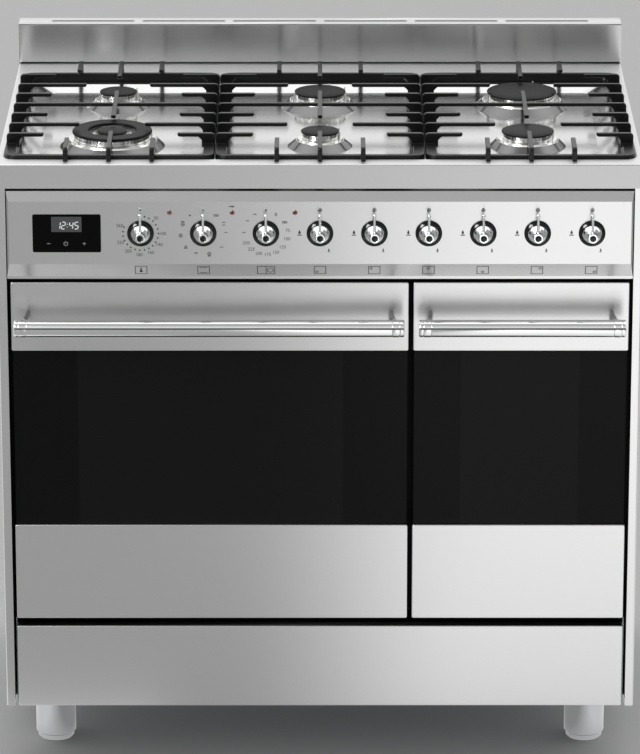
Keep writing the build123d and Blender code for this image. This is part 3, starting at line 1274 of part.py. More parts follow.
def build():
    """Make every piece and write one file per node."""
    os.makedirs("parts", exist_ok=True)
    save("left_side_panel", side_panel(-1))
    save("right_side_panel", side_panel(1))
    save("back_panel", back_panel())
    save("base_frame", base_frame())
    save("front_frame", front_frame())
    save("hob_top", hob_top())
    save("splashback", splashback())
    save("control_panel", control_panel())
    save("clock_module", *clock_module())
    save("indicator_lamps", *[indicator_lamp(x) for x in lamp_places()])
    save("knob_bezels", *[bezel(x) for x in OVEN_KNOBS + GAS_KNOBS])
    save("oven_switches", *[oven_switch(x) for x in OVEN_KNOBS])
    save("gas_rail", *gas_rail())
    save("gas_pipes", *gas_pipes())
    save("burner_cups", *[burner_cup(name) for name in BURNERS])
    save("burner_crowns", *[ring for name in BURNERS for ring in burner_crown(name)])
    save("burner_caps", *[cap for name in BURNERS for cap in burner_cap(name)])
    save("burner_probes", *[probe for name in BURNERS for probe in burner_probes(name)])
    save("main_oven_liner", main_oven_liner())
    save("aux_oven_liner", oven_liner(AUX_CENTRE, AUX_CAVITY_WIDTH))
    save("oven_insulation", *oven_insulation())
    save("door_seals", *[door_seal(*oven) for oven in OVENS])
    ladders = []
    for centre, width in OVENS:
        ladders.append(shelf_ladder(centre - width / 2, 1))
        ladders.append(shelf_ladder(centre + width / 2, -1))
    save("oven_racks", *ladders, *[oven_shelf(*oven) for oven in OVENS])
    save("oven_tray", oven_tray())
    save("heating_elements", *heating_elements())
    save("fan_housing", fan_cover(), fan_motor())
    save("oven_lamps", *[lamp_lens(*oven) for oven in OVENS])
    save("convection_fan", convection_fan())
    hinges = hinge_places(MAIN_SPAN) + hinge_places(AUX_SPAN)
    save("hinge_brackets", *[hinge_bracket(x) for x in hinges])
    for name, span in (("main_door", MAIN_SPAN), ("aux_door", AUX_SPAN)):
        save(name + "_skins", *door_skins(span))
        save(name + "_glass", *door_glass(span))
        save(name + "_frame", *door_frame(span))
        save(name + "_handle", *door_handle(span))
    save("drawer_front", door_pan((-DOOR_HALF, DOOR_HALF), (FOOT_HEIGHT, DRAWER_TOP), DRAWER_FRONT_DEPTH))
    save("drawer_box", drawer_box())
    save("drawer_guides", drawer_guide(-1), drawer_guide(1))
    for column, name in ((-1, "left"), (0, "centre"), (1, "right")):
        save("pan_support_" + name, pan_support(column))
    for x, name in zip(OVEN_KNOBS, ("main_thermostat", "main_selector", "aux_selector")):
        save(name + "_knob", *knob(x, TAP_FRONT + SPINDLE_SINK))
    for x, name in zip(GAS_KNOBS, BURNERS):
        save(name + "_knob", *knob(x, TAP_FRONT + SPINDLE_SINK))
        save(name + "_tap_collar", tap_collar(x))
    foot_x = HALF - FOOT_INSET
    feet = []
    for x in (-foot_x, foot_x):
        for depth in (FOOT_FRONT, BODY_DEPTH - FOOT_REAR):
            feet += levelling_foot(x, depth)
    save("levelling_feet", *feet)
    save("rear_connections", *rear_connections())


build()
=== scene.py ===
"""Range cooker: finishes, printed marks, turned controls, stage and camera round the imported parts."""

import json

import bmesh
import bpy
import numpy as np
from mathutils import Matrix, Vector


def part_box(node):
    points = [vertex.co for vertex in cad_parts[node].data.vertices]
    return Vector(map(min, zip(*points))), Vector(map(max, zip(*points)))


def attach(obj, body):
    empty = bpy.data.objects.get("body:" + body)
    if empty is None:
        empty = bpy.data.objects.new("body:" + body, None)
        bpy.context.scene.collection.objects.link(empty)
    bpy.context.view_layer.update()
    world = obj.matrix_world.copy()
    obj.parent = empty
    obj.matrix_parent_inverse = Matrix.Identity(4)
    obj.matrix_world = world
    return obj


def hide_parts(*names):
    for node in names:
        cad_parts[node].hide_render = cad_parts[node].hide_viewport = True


bl_info = {
    "name": "Range cooker",
    "version": (1, 0, 0),
    "blender": (4, 5, 0),
    "location": "View3D > Sidebar > Cooker",
    "description": "Finishes, printed marks, controls and stage for a stainless range cooker",
    "category": "Object",
}

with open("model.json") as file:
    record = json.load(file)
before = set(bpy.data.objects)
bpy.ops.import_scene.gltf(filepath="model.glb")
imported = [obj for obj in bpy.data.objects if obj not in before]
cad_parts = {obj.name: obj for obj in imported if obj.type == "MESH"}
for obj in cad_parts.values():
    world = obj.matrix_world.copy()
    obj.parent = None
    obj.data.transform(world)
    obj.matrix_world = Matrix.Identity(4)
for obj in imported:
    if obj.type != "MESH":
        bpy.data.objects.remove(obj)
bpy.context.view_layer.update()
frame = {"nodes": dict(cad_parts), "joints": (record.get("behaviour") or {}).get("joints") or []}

MM = 0.001
NODES = frame["nodes"]
JOINTS = {joint["name"]: joint for joint in frame["joints"]}
BODY = "cooker_body"
OVEN_KNOBS = ("main_thermostat", "main_selector", "aux_selector")
GAS_KNOBS = ("left_front", "left_rear", "centre_rear", "centre_front", "right_rear", "right_front")
KNOBS = OVEN_KNOBS + GAS_KNOBS
DOORS = ("main_door", "aux_door")


def corners(node):
    """Lowest and highest corner of a carried-over part in millimetres."""
    return [np.array(corner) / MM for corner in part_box(node)]


PANEL_FACE, PANEL_FOOT = corners("control_panel")[0][1:]
FRONT = corners("hob_top")[0][1]

# Printed border at each side of a door's glass, in millimetres
GLASS_BORDERS = {"main_door": 90, "aux_door": 66}

# Grain of a rolled sheet, in millimetres along x, y and z
ROLLED = (180, 1.2, 1.2)

# Numbers of the thermostat by the dot they stand at, counted from one
THERMOSTAT = {3: "50", 6: "100", 8: "140", 10: "160", 12: "180", 14: "200", 16: "220", 19: "260"}

# Signs and numbers of the two function dials by degrees clockwise from the top
SELECTOR = {35: "boxes", 64: "both", 90: "top", 126: "bottom", 165: "fan_bottom", 199: "grill"}
SELECTOR |= {231: "triangle", 264: "fan", 296: "fan_grill", 325: "start"}
AUX_SIGNS = {27: "lamp", 58.6: "boxes", 274: "bowl", 303: "top", 330: "hood"}
AUX_NUMBERS = {82: "75", 105: "100", 130: "125", 153: "150", 175: "175", 199: "200", 222: "225", 243: "250"}

# Lit segments of the clock's digits: a to f run clockwise from the top, g is the middle
DIGITS = {"1": "bc", "2": "abged", "4": "fgbc", "5": "afgcd"}

# Brightness of the surroundings by degrees from the front horizon over the top to the rear one
SKY = {0: 0.1, 14: 0.1, 24: 0.5, 30: 0.95, 38: 0.95, 47: 0.5, 81: 0.5}
SKY |= {87: 1.6, 102: 1.7, 125: 1.3, 150: 1.1, 180: 1.05}


def linear(code):
    """Linear colour of an sRGB hex value."""
    srgb = np.array([int(code[k : k + 2], 16) for k in (0, 2, 4)]) / 255
    return tuple(np.where(srgb <= 0.04045, srgb / 12.92, ((srgb + 0.055) / 1.055) ** 2.4))


def colour(code, label, text):
    """Colour property from an sRGB hex value."""
    return bpy.props.FloatVectorProperty(
        name=label, description=text, default=linear(code), subtype="COLOR", min=0, max=1
    )


def length(millimetres, label, text):
    """Length property from millimetres."""
    return bpy.props.FloatProperty(name=label, description=text, default=millimetres * MM, unit="LENGTH")


class CookerFinish(bpy.types.PropertyGroup):
    """Colours of the finishes."""

    steel: colour("D2D2D2", "Stainless steel", "Brushed front sheets and hob")
    iron: colour("121213", "Cast iron", "Pan supports")
    enamel: colour("0B0B0C", "Enamel", "Burner caps")
    glass: colour("1B1B1C", "Door glass", "Printed black glass of the doors")
    window: colour("222223", "Door window", "Clear zone of the door glass")
    ink: colour("161618", "Ink", "Marks printed on the panel")
    amber: colour("6A3C2E", "Pilot lamps", "Lenses of the pilot lamps")
    amber_rim: colour("B58673", "Lamp rims", "Frosted rims of the pilot lamps")
    display: colour("5A5B5D", "Display", "Clock display behind its digits")


class CookerPrint(bpy.types.PropertyGroup):
    """Sizes of the marks round the knobs."""

    dot_ring: length(24.6, "Dot ring", "Radius of the ring of dots")
    number_ring: length(30.6, "Number ring", "Radius of the ring of numbers")
    sign_ring: length(31.5, "Sign ring", "Radius of the ring of signs")
    dot: length(1.2, "Dot", "Radius of a dot")
    number: length(4.6, "Number height", "Height of the numbers")
    line: length(1.0, "Line", "Width of a drawn line")
    lift: length(0.04, "Ink lift", "Height of the ink above the steel")


class CookerControls(bpy.types.PropertyGroup):
    """Sizes of the knobs, bezels and handles."""

    knob_radius: length(12.6, "Knob radius", "Radius of a knob's skirt")
    hub_radius: length(7.0, "Hub radius", "Radius of a knob's hub")
    dot_radius: length(4.3, "Dot radius", "Black dot in the hub")
    lever_reach: length(29.5, "Lever reach", "From the knob's axis to its ball")
    bezel_outer: length(18.6, "Bezel radius", "Outer radius of a bezel")
    bezel_inner: length(13.3, "Bezel hole", "Inner radius of a bezel")
    bar_radius: length(12.0, "Handle radius", "Radius of a handle's bar")


class CookerStage(bpy.types.PropertyGroup):
    """Camera and floor."""

    distance: length(6500, "Camera distance", "From the worktop's front edge")
    height: length(2700, "Camera height", "Above the floor")
    pitch: bpy.props.FloatProperty(
        name="Camera pitch", description="Downward tilt", default=np.radians(17.98), subtype="ANGLE"
    )
    focal: bpy.props.FloatProperty(
        name="Focal length", description="Lens on a 36 mm sensor", default=232.5, unit="CAMERA"
    )
    floor: colour("A4A4A4", "Floor", "Pale studio floor")


def settings(name):
    """One group of the cooker's settings on the scene."""
    return getattr(bpy.context.scene, "cooker_" + name)


def sizes_of(name):
    """The lengths of a settings group in millimetres."""
    group = settings(name)
    return {key: getattr(group, key) / MM for key in group.__annotations__}


def add(tree, kind, inputs=None, **values):
    """Add a node with its settings; inputs maps a socket to a value or to another node's output."""
    made = tree.nodes.new(kind)
    for key, value in values.items():
        setattr(made, key, value)
    for key, value in (inputs or {}).items():
        if isinstance(value, bpy.types.NodeSocket):
            tree.links.new(value, made.inputs[key])
        else:
            made.inputs[key].default_value = value
    return made


def calculate(tree, operation, *values):
    """Output of a math node on values and other nodes' outputs."""
    return add(tree, "ShaderNodeMath", dict(enumerate(values)), operation=operation).outputs[0]


def axes(tree, space):
    """Outputs x, y and z of the shaded point in one of Blender's texture spaces."""
    place = add(tree, "ShaderNodeTexCoord").outputs[space]
    return add(tree, "ShaderNodeSeparateXYZ", {"Vector": place}).outputs


def finish(name, base, rough, grain, metallic=0.0, specular=0.5, tint=0.04, gloss=0.04, bump=0.0, more=None):
    """Material whose colour, gloss and height follow the middle of one noise.

    grain is the noise's size in millimetres, one number or one for each axis. tint and gloss say how
    far the noise shifts colour and roughness, and more holds further sockets of the shader.
    """
    made = bpy.data.materials.new(name)
    made.use_nodes = True
    tree = made.node_tree
    tree.nodes.clear()
    sizes = np.broadcast_to(grain, 3) * MM
    place = add(tree, "ShaderNodeTexCoord").outputs["Object"]
    spread = add(tree, "ShaderNodeMapping", {"Vector": place, "Scale": tuple(1 / sizes)}).outputs[0]
    noise = add(tree, "ShaderNodeTexNoise", {"Vector": spread, "Scale": 1, "Detail": 3}).outputs["Fac"]
    middle = {"Value": noise, "From Min": 0.3, "From Max": 0.7}
    share = add(tree, "ShaderNodeMapRange", middle).outputs[0]
    dark, light = [(*np.minimum(np.array(base[:3]) * k, 1), 1) for k in (1 - tint, 1 + tint)]
    tone = add(tree, "ShaderNodeMix", {0: share, 6: dark, 7: light}, data_type="RGBA").outputs[2]
    span = {"To Min": max(rough - gloss, 0.02), "To Max": rough + gloss}
    sheen = add(tree, "ShaderNodeMapRange", {**middle, **span}).outputs[0]
    sockets = {"Base Color": tone, "Metallic": metallic, "Roughness": sheen, "Specular IOR Level": specular}
    if bump:
        height = {"Height": noise, "Strength": bump, "Distance": sizes.min() / 4}
        sockets["Normal"] = add(tree, "ShaderNodeBump", height).outputs[0]
    shader = add(tree, "ShaderNodeBsdfPrincipled", {**sockets, **(more or {})}, name="shader")
    add(tree, "ShaderNodeOutputMaterial", {"Surface": shader.outputs["BSDF"]})
    return made


def metal(name, base, rough, grain, **values):
    """Finish of a bare metal."""
    return finish(name, base, rough, grain, metallic=1.0, **values)


def reuse(name, make):
    """Material of a name that an earlier step made, or a new one."""
    return bpy.data.materials.get(name) or make()


def brushed_stainless(name, along, rough=0.28, spread=0.55, shade=None):
    """Belt-ground stainless: streaks along one axis, which spread a reflection across them.

    Real scratches are about 0.1 mm apart; they are drawn at 0.9 mm to show.
    """
    grain = [0.9, 0.9, 0.9]
    grain["xyz".index(along)] = 260
    across = {"Anisotropic": spread, "Anisotropic Rotation": 0.25} if along == "x" else {}
    base = shade or settings("finish").steel
    return metal(name, base, rough, grain, tint=0.004, gloss=0.006, bump=0.006, more=across)


def polished_stainless():
    """Bright-rolled stainless of the hob: nearly a mirror, with a faint rolling grain."""
    steel = settings("finish").steel
    return metal("polished stainless", steel, rough=0.17, grain=ROLLED, tint=0.006, gloss=0.01, bump=0.008)


def satin_stainless():
    """Satin-rolled stainless of the worktop's rim: soft reflections."""
    steel = settings("finish").steel
    return metal("satin stainless", steel, rough=0.5, grain=ROLLED, tint=0.01, gloss=0.02, bump=0.02)


def shaded_cone_stainless():
    """Stainless of the cones round the burners, painted darker than the pan: painted shade."""
    steel = linear("747474")
    return metal("cone stainless with painted shade", steel, rough=0.2, grain=ROLLED, tint=0.01, gloss=0.02, bump=0.01)


def duct_painted_shade():
    """Raw steel inside the vent channel, painted dark: painted shade of the channel's hollow."""
    soot = linear("2A2928")
    return finish("duct steel with painted shade", soot, rough=0.6, grain=12, metallic=0.6, tint=0.2, gloss=0.08)


def drawn_stainless():
    """Drawn and polished tube: fine rings left by the polishing belt."""
    steel, rings = linear("DEDEDE"), (0.8, 60, 60)
    return metal("drawn stainless", steel, rough=0.12, grain=rings, tint=0.01, gloss=0.015, bump=0.01)


def shaded_post_metal():
    """Polished metal of the handles' posts: a mirror, softly waved, painted a darker grey than the bar as
    painted shade.
    """
    return metal("post metal with painted shade", linear("9E9E9E"), rough=0.1, grain=10, tint=0.03, gloss=0.02)


def galvanised_sheet():
    """Hot-dip zinc: grey crystals about 9 mm wide of differing shade."""
    return metal("galvanised sheet", linear("A0A4A7"), rough=0.42, grain=9, tint=0.14, gloss=0.08)


def zinc_plate():
    """Zinc-plated and passivated steel screw: silvery with a faint blotch."""
    return metal("zinc plate", linear("B9BBBD"), rough=0.3, grain=2, tint=0.06, gloss=0.05)


def cast_iron():
    """Cast iron under satin black enamel: slightly pitted, so highlights break up."""
    iron = settings("finish").iron
    return finish(
        "enamelled cast iron", iron, rough=0.33, grain=1.1, specular=0.3, tint=0.25, gloss=0.06, bump=0.12
    )


def cap_enamel():
    """Pressed steel under satin black enamel: fine orange peel."""
    enamel = settings("finish").enamel
    return finish(
        "satin enamel", enamel, rough=0.45, grain=0.9, specular=0.1, tint=0.15, gloss=0.05, bump=0.05
    )


def cast_aluminium():
    """Die-cast and tumbled aluminium: bright, softly mottled."""
    return metal("cast aluminium", linear("E0E0DE"), rough=0.16, grain=8, tint=0.02, gloss=0.03)


def turned_aluminium():
    """Turned aluminium tube: fine rings round an upright axis."""
    aluminium, rings = linear("BEBFC0"), (120, 120, 0.8)
    return metal("turned aluminium", aluminium, rough=0.14, grain=rings, tint=0.02, gloss=0.03, bump=0.02)


def oven_enamel():
    """Vitreous enamel: glossy blue-black with pale specks under half a millimetre, drawn at 0.8 mm."""
    black = linear("202228")
    return finish("vitreous enamel", black, rough=0.16, grain=0.8, tint=0.5, gloss=0.03, bump=0.03)


def heater_alloy():
    """Oxidised nickel-alloy tube and stamped steel: brownish grey, patchy."""
    return metal("heater alloy", linear("87837D"), rough=0.36, grain=6, tint=0.18, gloss=0.08)


def chrome_plate():
    """Chrome plate on polished zinc: a mirror with the faintest waviness."""
    return metal("chrome plate", linear("E2E3E4"), rough=0.06, grain=14, tint=0.01, gloss=0.015)


def black_glass():
    """Float glass enamelled black on its back: a door's clear window is a shade lighter than its border."""
    glass = settings("finish").glass
    made = finish("black glass", glass, rough=0.045, grain=30, specular=0.045, tint=0.02, gloss=0.005)
    tree = made.node_tree
    tone = tree.nodes["shader"].inputs["Base Color"]
    across = axes(tree, "Object")["X"]
    windows = []
    for door, border in GLASS_BORDERS.items():
        low, high = corners(door + "_glass")
        middle, half = (low + high)[0] / 2, (high - low)[0] / 2 - border
        windows.append(calculate(tree, "COMPARE", across, middle * MM, half * MM))
    either = calculate(tree, "MAXIMUM", *windows)
    shades = {0: either, 6: tone.links[0].from_socket, 7: (*settings("finish").window, 1)}
    tree.links.new(add(tree, "ShaderNodeMix", shades, data_type="RGBA").outputs[2], tone)
    return made


def lamp_glass():
    """Pressed borosilicate lens: clear with a pale cast."""
    pale, clear = linear("E9E7DE"), {"Transmission Weight": 0.6}
    return finish("borosilicate glass", pale, rough=0.05, grain=8, tint=0.02, gloss=0.01, more=clear)


def gloss_plastic():
    """Injection-moulded black ABS with a polished skin."""
    return finish("gloss ABS", linear("060607"), rough=0.1, grain=20, specular=0.35, tint=0.05, gloss=0.02)


def smoked_acrylic():
    """Smoked acrylic pane of the clock: deep black with a weak reflection."""
    black = linear("050506")
    return finish("smoked acrylic", black, rough=0.1, grain=20, specular=0.09, tint=0.05, gloss=0.02)


def amber_acrylic(name, shade):
    """Tinted acrylic lens of a pilot lamp, unlit: deep in the middle, paler at the frosted rim."""
    return finish(name, shade, rough=0.2, grain=1.5, tint=0.12, gloss=0.04)


def panel_ink():
    """Screen-printed grey-black enamel ink: matt, a little uneven."""
    return finish("screen ink", settings("finish").ink, rough=0.5, grain=1.2, tint=0.1, gloss=0.05)


def display_film():
    """Backlit grey film of the clock."""
    return finish("display film", settings("finish").display, rough=0.25, grain=6, tint=0.05, gloss=0.02)


def display_light(name, strength):
    """White light behind the clock's digits, or the fainter one behind its touch marks."""
    lit = {"Emission Color": (*linear("F4F4F2"), 1), "Emission Strength": strength}
    return finish(name, linear("8E8E8C"), rough=0.4, grain=6, tint=0.01, gloss=0.02, more=lit)


def mineral_wool():
    """Pressed mineral wool: matt, tangled, yellowish."""
    wool, tangle = linear("A4997B"), (4, 4, 1.5)
    return finish("mineral wool", wool, rough=0.9, grain=tangle, tint=0.25, gloss=0.05, bump=0.6)


def silicone_rubber():
    """Black silicone: matt with a soft sheen."""
    return finish("silicone rubber", linear("191919"), rough=0.6, grain=1.5, tint=0.1, gloss=0.06, bump=0.05)


def glazed_ceramic():
    """Glazed alumina: off-white and glossy."""
    return finish("glazed alumina", linear("E4E1D8"), rough=0.18, grain=2, tint=0.04, gloss=0.04)


def phenolic():
    """Moulded phenolic: matt black-brown with a fine bloom."""
    black = linear("232224")
    return finish("phenolic moulding", black, rough=0.5, grain=2, tint=0.12, gloss=0.08, bump=0.05)


def machined_brass():
    """Machined brass: warm, with faint tool marks."""
    brass, marks = linear("B5915A"), (3, 3, 0.9)
    return metal("machined brass", brass, rough=0.28, grain=marks, tint=0.06, gloss=0.05, bump=0.04)


def dress(material, *names):
    """Put one material on carried-over parts."""
    for name in names:
        slots = NODES[name].data.materials
        slots.clear()
        slots.append(material)


def dress_zone(name, material, chosen):
    """Put a further material on the faces of a part whose centres in mm and normals chosen picks."""
    mesh = NODES[name].data
    count = len(mesh.polygons)
    centres, normals = np.empty((2, count * 3))
    mesh.polygons.foreach_get("center", centres)
    mesh.polygons.foreach_get("normal", normals)
    picked = chosen(centres.reshape(-1, 3) / MM, normals.reshape(-1, 3))
    slots = np.empty(count, np.int32)
    mesh.polygons.foreach_get("material_index", slots)
    mesh.materials.append(material)
    mesh.polygons.foreach_set("material_index", np.where(picked, len(mesh.materials) - 1, slots))


def soften(width, *names):
    """Round the sharp edges of carried-over parts by a width in millimetres."""
    for name in names:
        part = NODES[name]
        weld = part.modifiers.new("joined corners", "WELD")
        weld.merge_threshold = 0.005 * MM
        edge = part.modifiers.new("rounded edges", "BEVEL")
        edge.width = width * MM
        edge.segments = 2
        edge.limit_method = "ANGLE"
        edge.angle_limit = np.radians(40)
        edge.use_clamp_overlap = False
        edge.harden_normals = True
        edge.miter_outer = "MITER_ARC"


def rounded(points, radii, steps=6):
    """Polyline with each inner corner replaced by an arc; a zero radius keeps the corner.

    The arc touches both sides at radius / tan(half the angle between them) from the corner.
    """
    points = np.asarray(points, float)
    path = [points[:1]]
    for before, corner, after, radius in zip(points, points[1:], points[2:], radii):
        if radius == 0:
            path.append(corner[None])
            continue
        back = (before - corner) / np.linalg.norm(before - corner)
        on = (after - corner) / np.linalg.norm(after - corner)
        half = np.arccos(np.clip(back @ on, -1, 1)) / 2
        middle = corner + (back + on) / np.linalg.norm(back + on) * radius / np.sin(half)
        start = corner + back * radius / np.tan(half) - middle
        end = corner + on * radius / np.tan(half) - middle
        sweep = np.pi - 2 * half
        share = np.linspace(0, 1, steps)[:, None]
        arc = np.sin((1 - share) * sweep) * start + np.sin(share * sweep) * end
        path.append(middle + arc / np.sin(sweep))
    path.append(points[-1:])
    return np.concatenate(path)


def lathe(profile, turns=40):
    """Surface of revolution about z: each point (radius, z) of the profile goes round a full circle."""
    angle = np.linspace(0, 2 * np.pi, turns, endpoint=False)[:, None]
    radius, height = np.asarray(profile, float).T
    height = np.broadcast_to(height, (turns, len(height)))
    return np.stack([np.cos(angle) * radius, np.sin(angle) * radius, height], axis=-1)


def capped(steps):
    """Even shares from 0 to 1 along a bar with both ends doubled, and the factor that closes the ends."""
    share = np.array([0, *np.linspace(0, 1, steps), 1])
    full = np.array([0, *np.ones(steps), 0])
    return share, full


def loft(spine, widths, heights, power=2.6, turns=20):
    """Bar along a spine: at each point a superellipse of that width along x and height along z."""
    angle = np.linspace(0, 2 * np.pi, turns, endpoint=False)[:, None]
    cos, sin = np.cos(angle), np.sin(angle)
    x = spine[:, 0] + np.sign(cos) * np.abs(cos) ** (2 / power) * widths / 2
    z = spine[:, 2] + np.sign(sin) * np.abs(sin) ** (2 / power) * heights / 2
    return np.stack([x, np.broadcast_to(spine[:, 1], x.shape), z], axis=-1)


def ball(radius, steps=13):
    """Profile of a sphere for the lathe: a half circle from pole to pole."""
    angle = np.linspace(-np.pi / 2, np.pi / 2, steps)
    return radius * np.stack([np.cos(angle), np.sin(angle)], axis=-1)


def quads(grid, closed=False):
    """Vertices and faces of a grid that wraps round its first axis, and along its second when closed."""
    around, along = grid.shape[:2]
    index = np.arange(around * along).reshape(around, along)
    index = np.concatenate([index, index[:1]], axis=0)
    if closed:
        index = np.concatenate([index, index[:, :1]], axis=1)
    faces = np.stack([index[:-1, :-1], index[1:, :-1], index[1:, 1:], index[:-1, 1:]], axis=-1)
    return grid.reshape(-1, 3), faces.reshape(-1, 4).tolist()


def on_panel(points, x, z, base=PANEL_FACE):
    """Place points given as right, up and outward on the upright face at depth base, about (x, z)."""
    return np.stack([x + points[..., 0], base - points[..., 2], z + points[..., 1]], axis=-1)


def put(name, data):
    """New object in the scene."""
    made = bpy.data.objects.new(name, data)
    bpy.context.scene.collection.objects.link(made)
    return made


def piece(name, shapes, materials, body, replaced=(), smooth=35, solid=True):
    """Mesh object from (vertices in mm, faces, material number) shapes, riding on a body.

    A solid one has its seams joined and is shaded round up to the angle smooth, in degrees.
    """
    mesh = bpy.data.meshes.new(name)
    starts = np.cumsum([0] + [len(vertices) for vertices, _, _ in shapes]).tolist()
    vertices = np.concatenate([vertices for vertices, _, _ in shapes]) * MM
    faces = [[start + k for k in face] for start, (_, part, _) in zip(starts, shapes) for face in part]
    mesh.from_pydata(vertices.tolist(), [], faces)
    mesh.polygons.foreach_set("material_index", [paint for _, part, paint in shapes for _ in part])
    for material in materials:
        mesh.materials.append(material)
    if solid:
        work = bmesh.new()
        work.from_mesh(mesh)
        bmesh.ops.remove_doubles(work, verts=work.verts, dist=0.0004 * MM)
        bmesh.ops.dissolve_degenerate(work, edges=work.edges, dist=0.0002 * MM)
        bmesh.ops.recalc_face_normals(work, faces=work.faces)
        work.to_mesh(mesh)
        work.free()
        mesh.shade_smooth()
        mesh.set_sharp_from_angle(angle=np.radians(smooth))
    made = put(name, mesh)
    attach(made, body)
    if replaced:
        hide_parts(*replaced)
    return made


def thicken(made, name, thickness):
    """Give a flat print its thickness outwards, in metres."""
    sheet = made.modifiers.new(name, "SOLIDIFY")
    sheet.thickness = thickness
    sheet.offset = 1


def knob_place(name):
    """X and z of a knob's axis in millimetres, from its joint."""
    place = JOINTS[name + "_turn"]["pos_m"]
    return place[0] / MM, place[2] / MM


def ribbon(points, width, closed=False):
    """Flat band of one width along a polyline, mitred.

    Each point moves both ways along its corner's bisector, by half the width over the cosine of half
    the turn.
    """
    points = np.asarray(points, float)
    path = np.concatenate([points, points[:1]]) if closed else points
    way = np.diff(path, axis=0)
    way /= np.linalg.norm(way, axis=1, keepdims=True)
    side = np.stack([-way[:, 1], way[:, 0]], axis=-1)
    before = np.concatenate([side[-1:] if closed else side[:1], side])
    after = np.concatenate([side, side[:1] if closed else side[-1:]])
    mitre = (before + after) / (1 + np.sum(before * after, axis=1, keepdims=True)) * width / 2
    left, right = path + mitre, path - mitre
    return list(np.stack([right[:-1], right[1:], left[1:], left[:-1]], axis=1))


def circle(radius, x=0.0, y=0.0, steps=20, start=0.0, sweep=360.0):
    """Points round a circle or along an arc, counted in degrees from the right."""
    angle = np.radians(start + sweep * np.linspace(0, 1, steps, endpoint=sweep < 360))
    return np.stack([x + radius * np.cos(angle), y + radius * np.sin(angle)], axis=-1)


def tile(width, height, x=0.0, y=0.0):
    """Corners of an upright rectangle."""
    return np.array([(-1, -1), (1, -1), (1, 1), (-1, 1)]) * (width / 2, height / 2) + (x, y)


def flame(width, height):
    """Drop shape: the width swells as sin(t) sin(t / 2) squared while the height goes as cos(t)."""
    angle = np.linspace(0, 2 * np.pi, 18, endpoint=False)
    across = -width * 0.65 * np.sin(angle) * np.sin(angle / 2) ** 2
    return np.stack([across, height / 2 * np.cos(angle)], axis=-1)


def moved(polygons, x, y):
    """Polygons shifted by x and y."""
    return [polygon + (x, y) for polygon in polygons]


def round_dial(polygons, radius, degrees):
    """Polygons shifted to a place on a dial, counted clockwise from the top."""
    angle = np.radians(degrees)
    return moved(polygons, radius * np.sin(angle), radius * np.cos(angle))


def number(text, height):
    """Polygons of a plain number, centred and scaled to a height."""
    curve = bpy.data.curves.new("number", "FONT")
    curve.body = text
    curve.resolution_u = 3
    written = bpy.data.objects.new("number", curve)
    mesh = bpy.data.meshes.new_from_object(written)
    points = np.empty(len(mesh.vertices) * 3)
    mesh.vertices.foreach_get("co", points)
    points = points.reshape(-1, 3)[:, :2]
    low, high = points.min(0), points.max(0)
    points = (points - (low + high) / 2) * height / (high - low)[1]
    polygons = [points[list(face.vertices)] for face in mesh.polygons]
    bpy.data.objects.remove(written)
    bpy.data.curves.remove(curve)
    bpy.data.meshes.remove(mesh)
    return polygons


def signs(line):
    """Polygons of small generic oven and burner signs 4 to 8 mm across, by name, for a width of line."""
    fine = line * 0.8

    def bar(height):
        """Level stroke at a height."""
        return ribbon([(-2.2, height), (2.2, height)], line)

    blade = flame(1.3, 2.0) + (0, 1.0)
    turns = [np.radians(120 * k) for k in range(3)]
    blades = [blade @ np.array([(np.cos(t), np.sin(t)), (-np.sin(t), np.cos(t))]) for t in turns]
    drawn = {
        "top": bar(1.4),
        "bottom": bar(-1.4),
        "both": bar(1.9) + bar(-1.9),
        "grill": ribbon([(-2.4, 0.8), (-1.2, 1.9), (0, 0.8), (1.2, 1.9), (2.4, 0.8)], line),
        "fan": ribbon(circle(2.3), fine, True) + blades,
        "boxes": ribbon(tile(2.6, 2.2, -1.8), fine, True) + ribbon(tile(2.6, 2.2, 1.8), fine, True),
        "triangle": ribbon([(-2.0, -1.7), (2.0, -1.7), (0, 2.0)], line, True),
        "start": [np.array([(-1.4, -1.7), (1.7, 0.0), (-1.4, 1.7)])],
        "lamp": ribbon(circle(1.5, 0, 0.6), fine, True) + [tile(1.4, 1.2, 0, -1.7)],
        "hood": ribbon(circle(2.2, 0, -0.8, 9, 20, 140), line),
        "bowl": ribbon(circle(2.2, 0, 0.8, 9, 200, 140), line),
        "off": ribbon(circle(2.3), line, True),
        "large_flame": [flame(4.0, 6.2) + (0, 2.0), tile(6.0, 1.4, 0, -2.6)],
        "small_flame": [flame(2.8, 4.4) + (0, 1.3), tile(3.4, 1.1, 0, -1.9)],
        "probe": [circle(1.3, 2.7, 0, 14)] + ribbon([(-3, 0), (2, 0)], line * 1.4),
    }
    drawn["fan_bottom"] = moved(drawn["fan"], 0, 0.7) + bar(-2.5)
    drawn["fan_grill"] = moved(drawn["fan"], 0, -0.9) + moved(drawn["grill"], 0, 1.6)
    return drawn


def printed(polygons, place, paint=0):
    """Shapes of flat polygons put in place, each turned to face outwards first."""
    shapes = []
    for flat in polygons:
        ahead = np.roll(flat, -1, axis=0)
        if np.sum(flat[:, 0] * ahead[:, 1] - flat[:, 1] * ahead[:, 0]) < 0:
            flat = flat[::-1]
        points = np.concatenate([flat, np.zeros((len(flat), 1))], axis=1)
        shapes.append((place(points), [list(range(len(flat)))], paint))
    return shapes


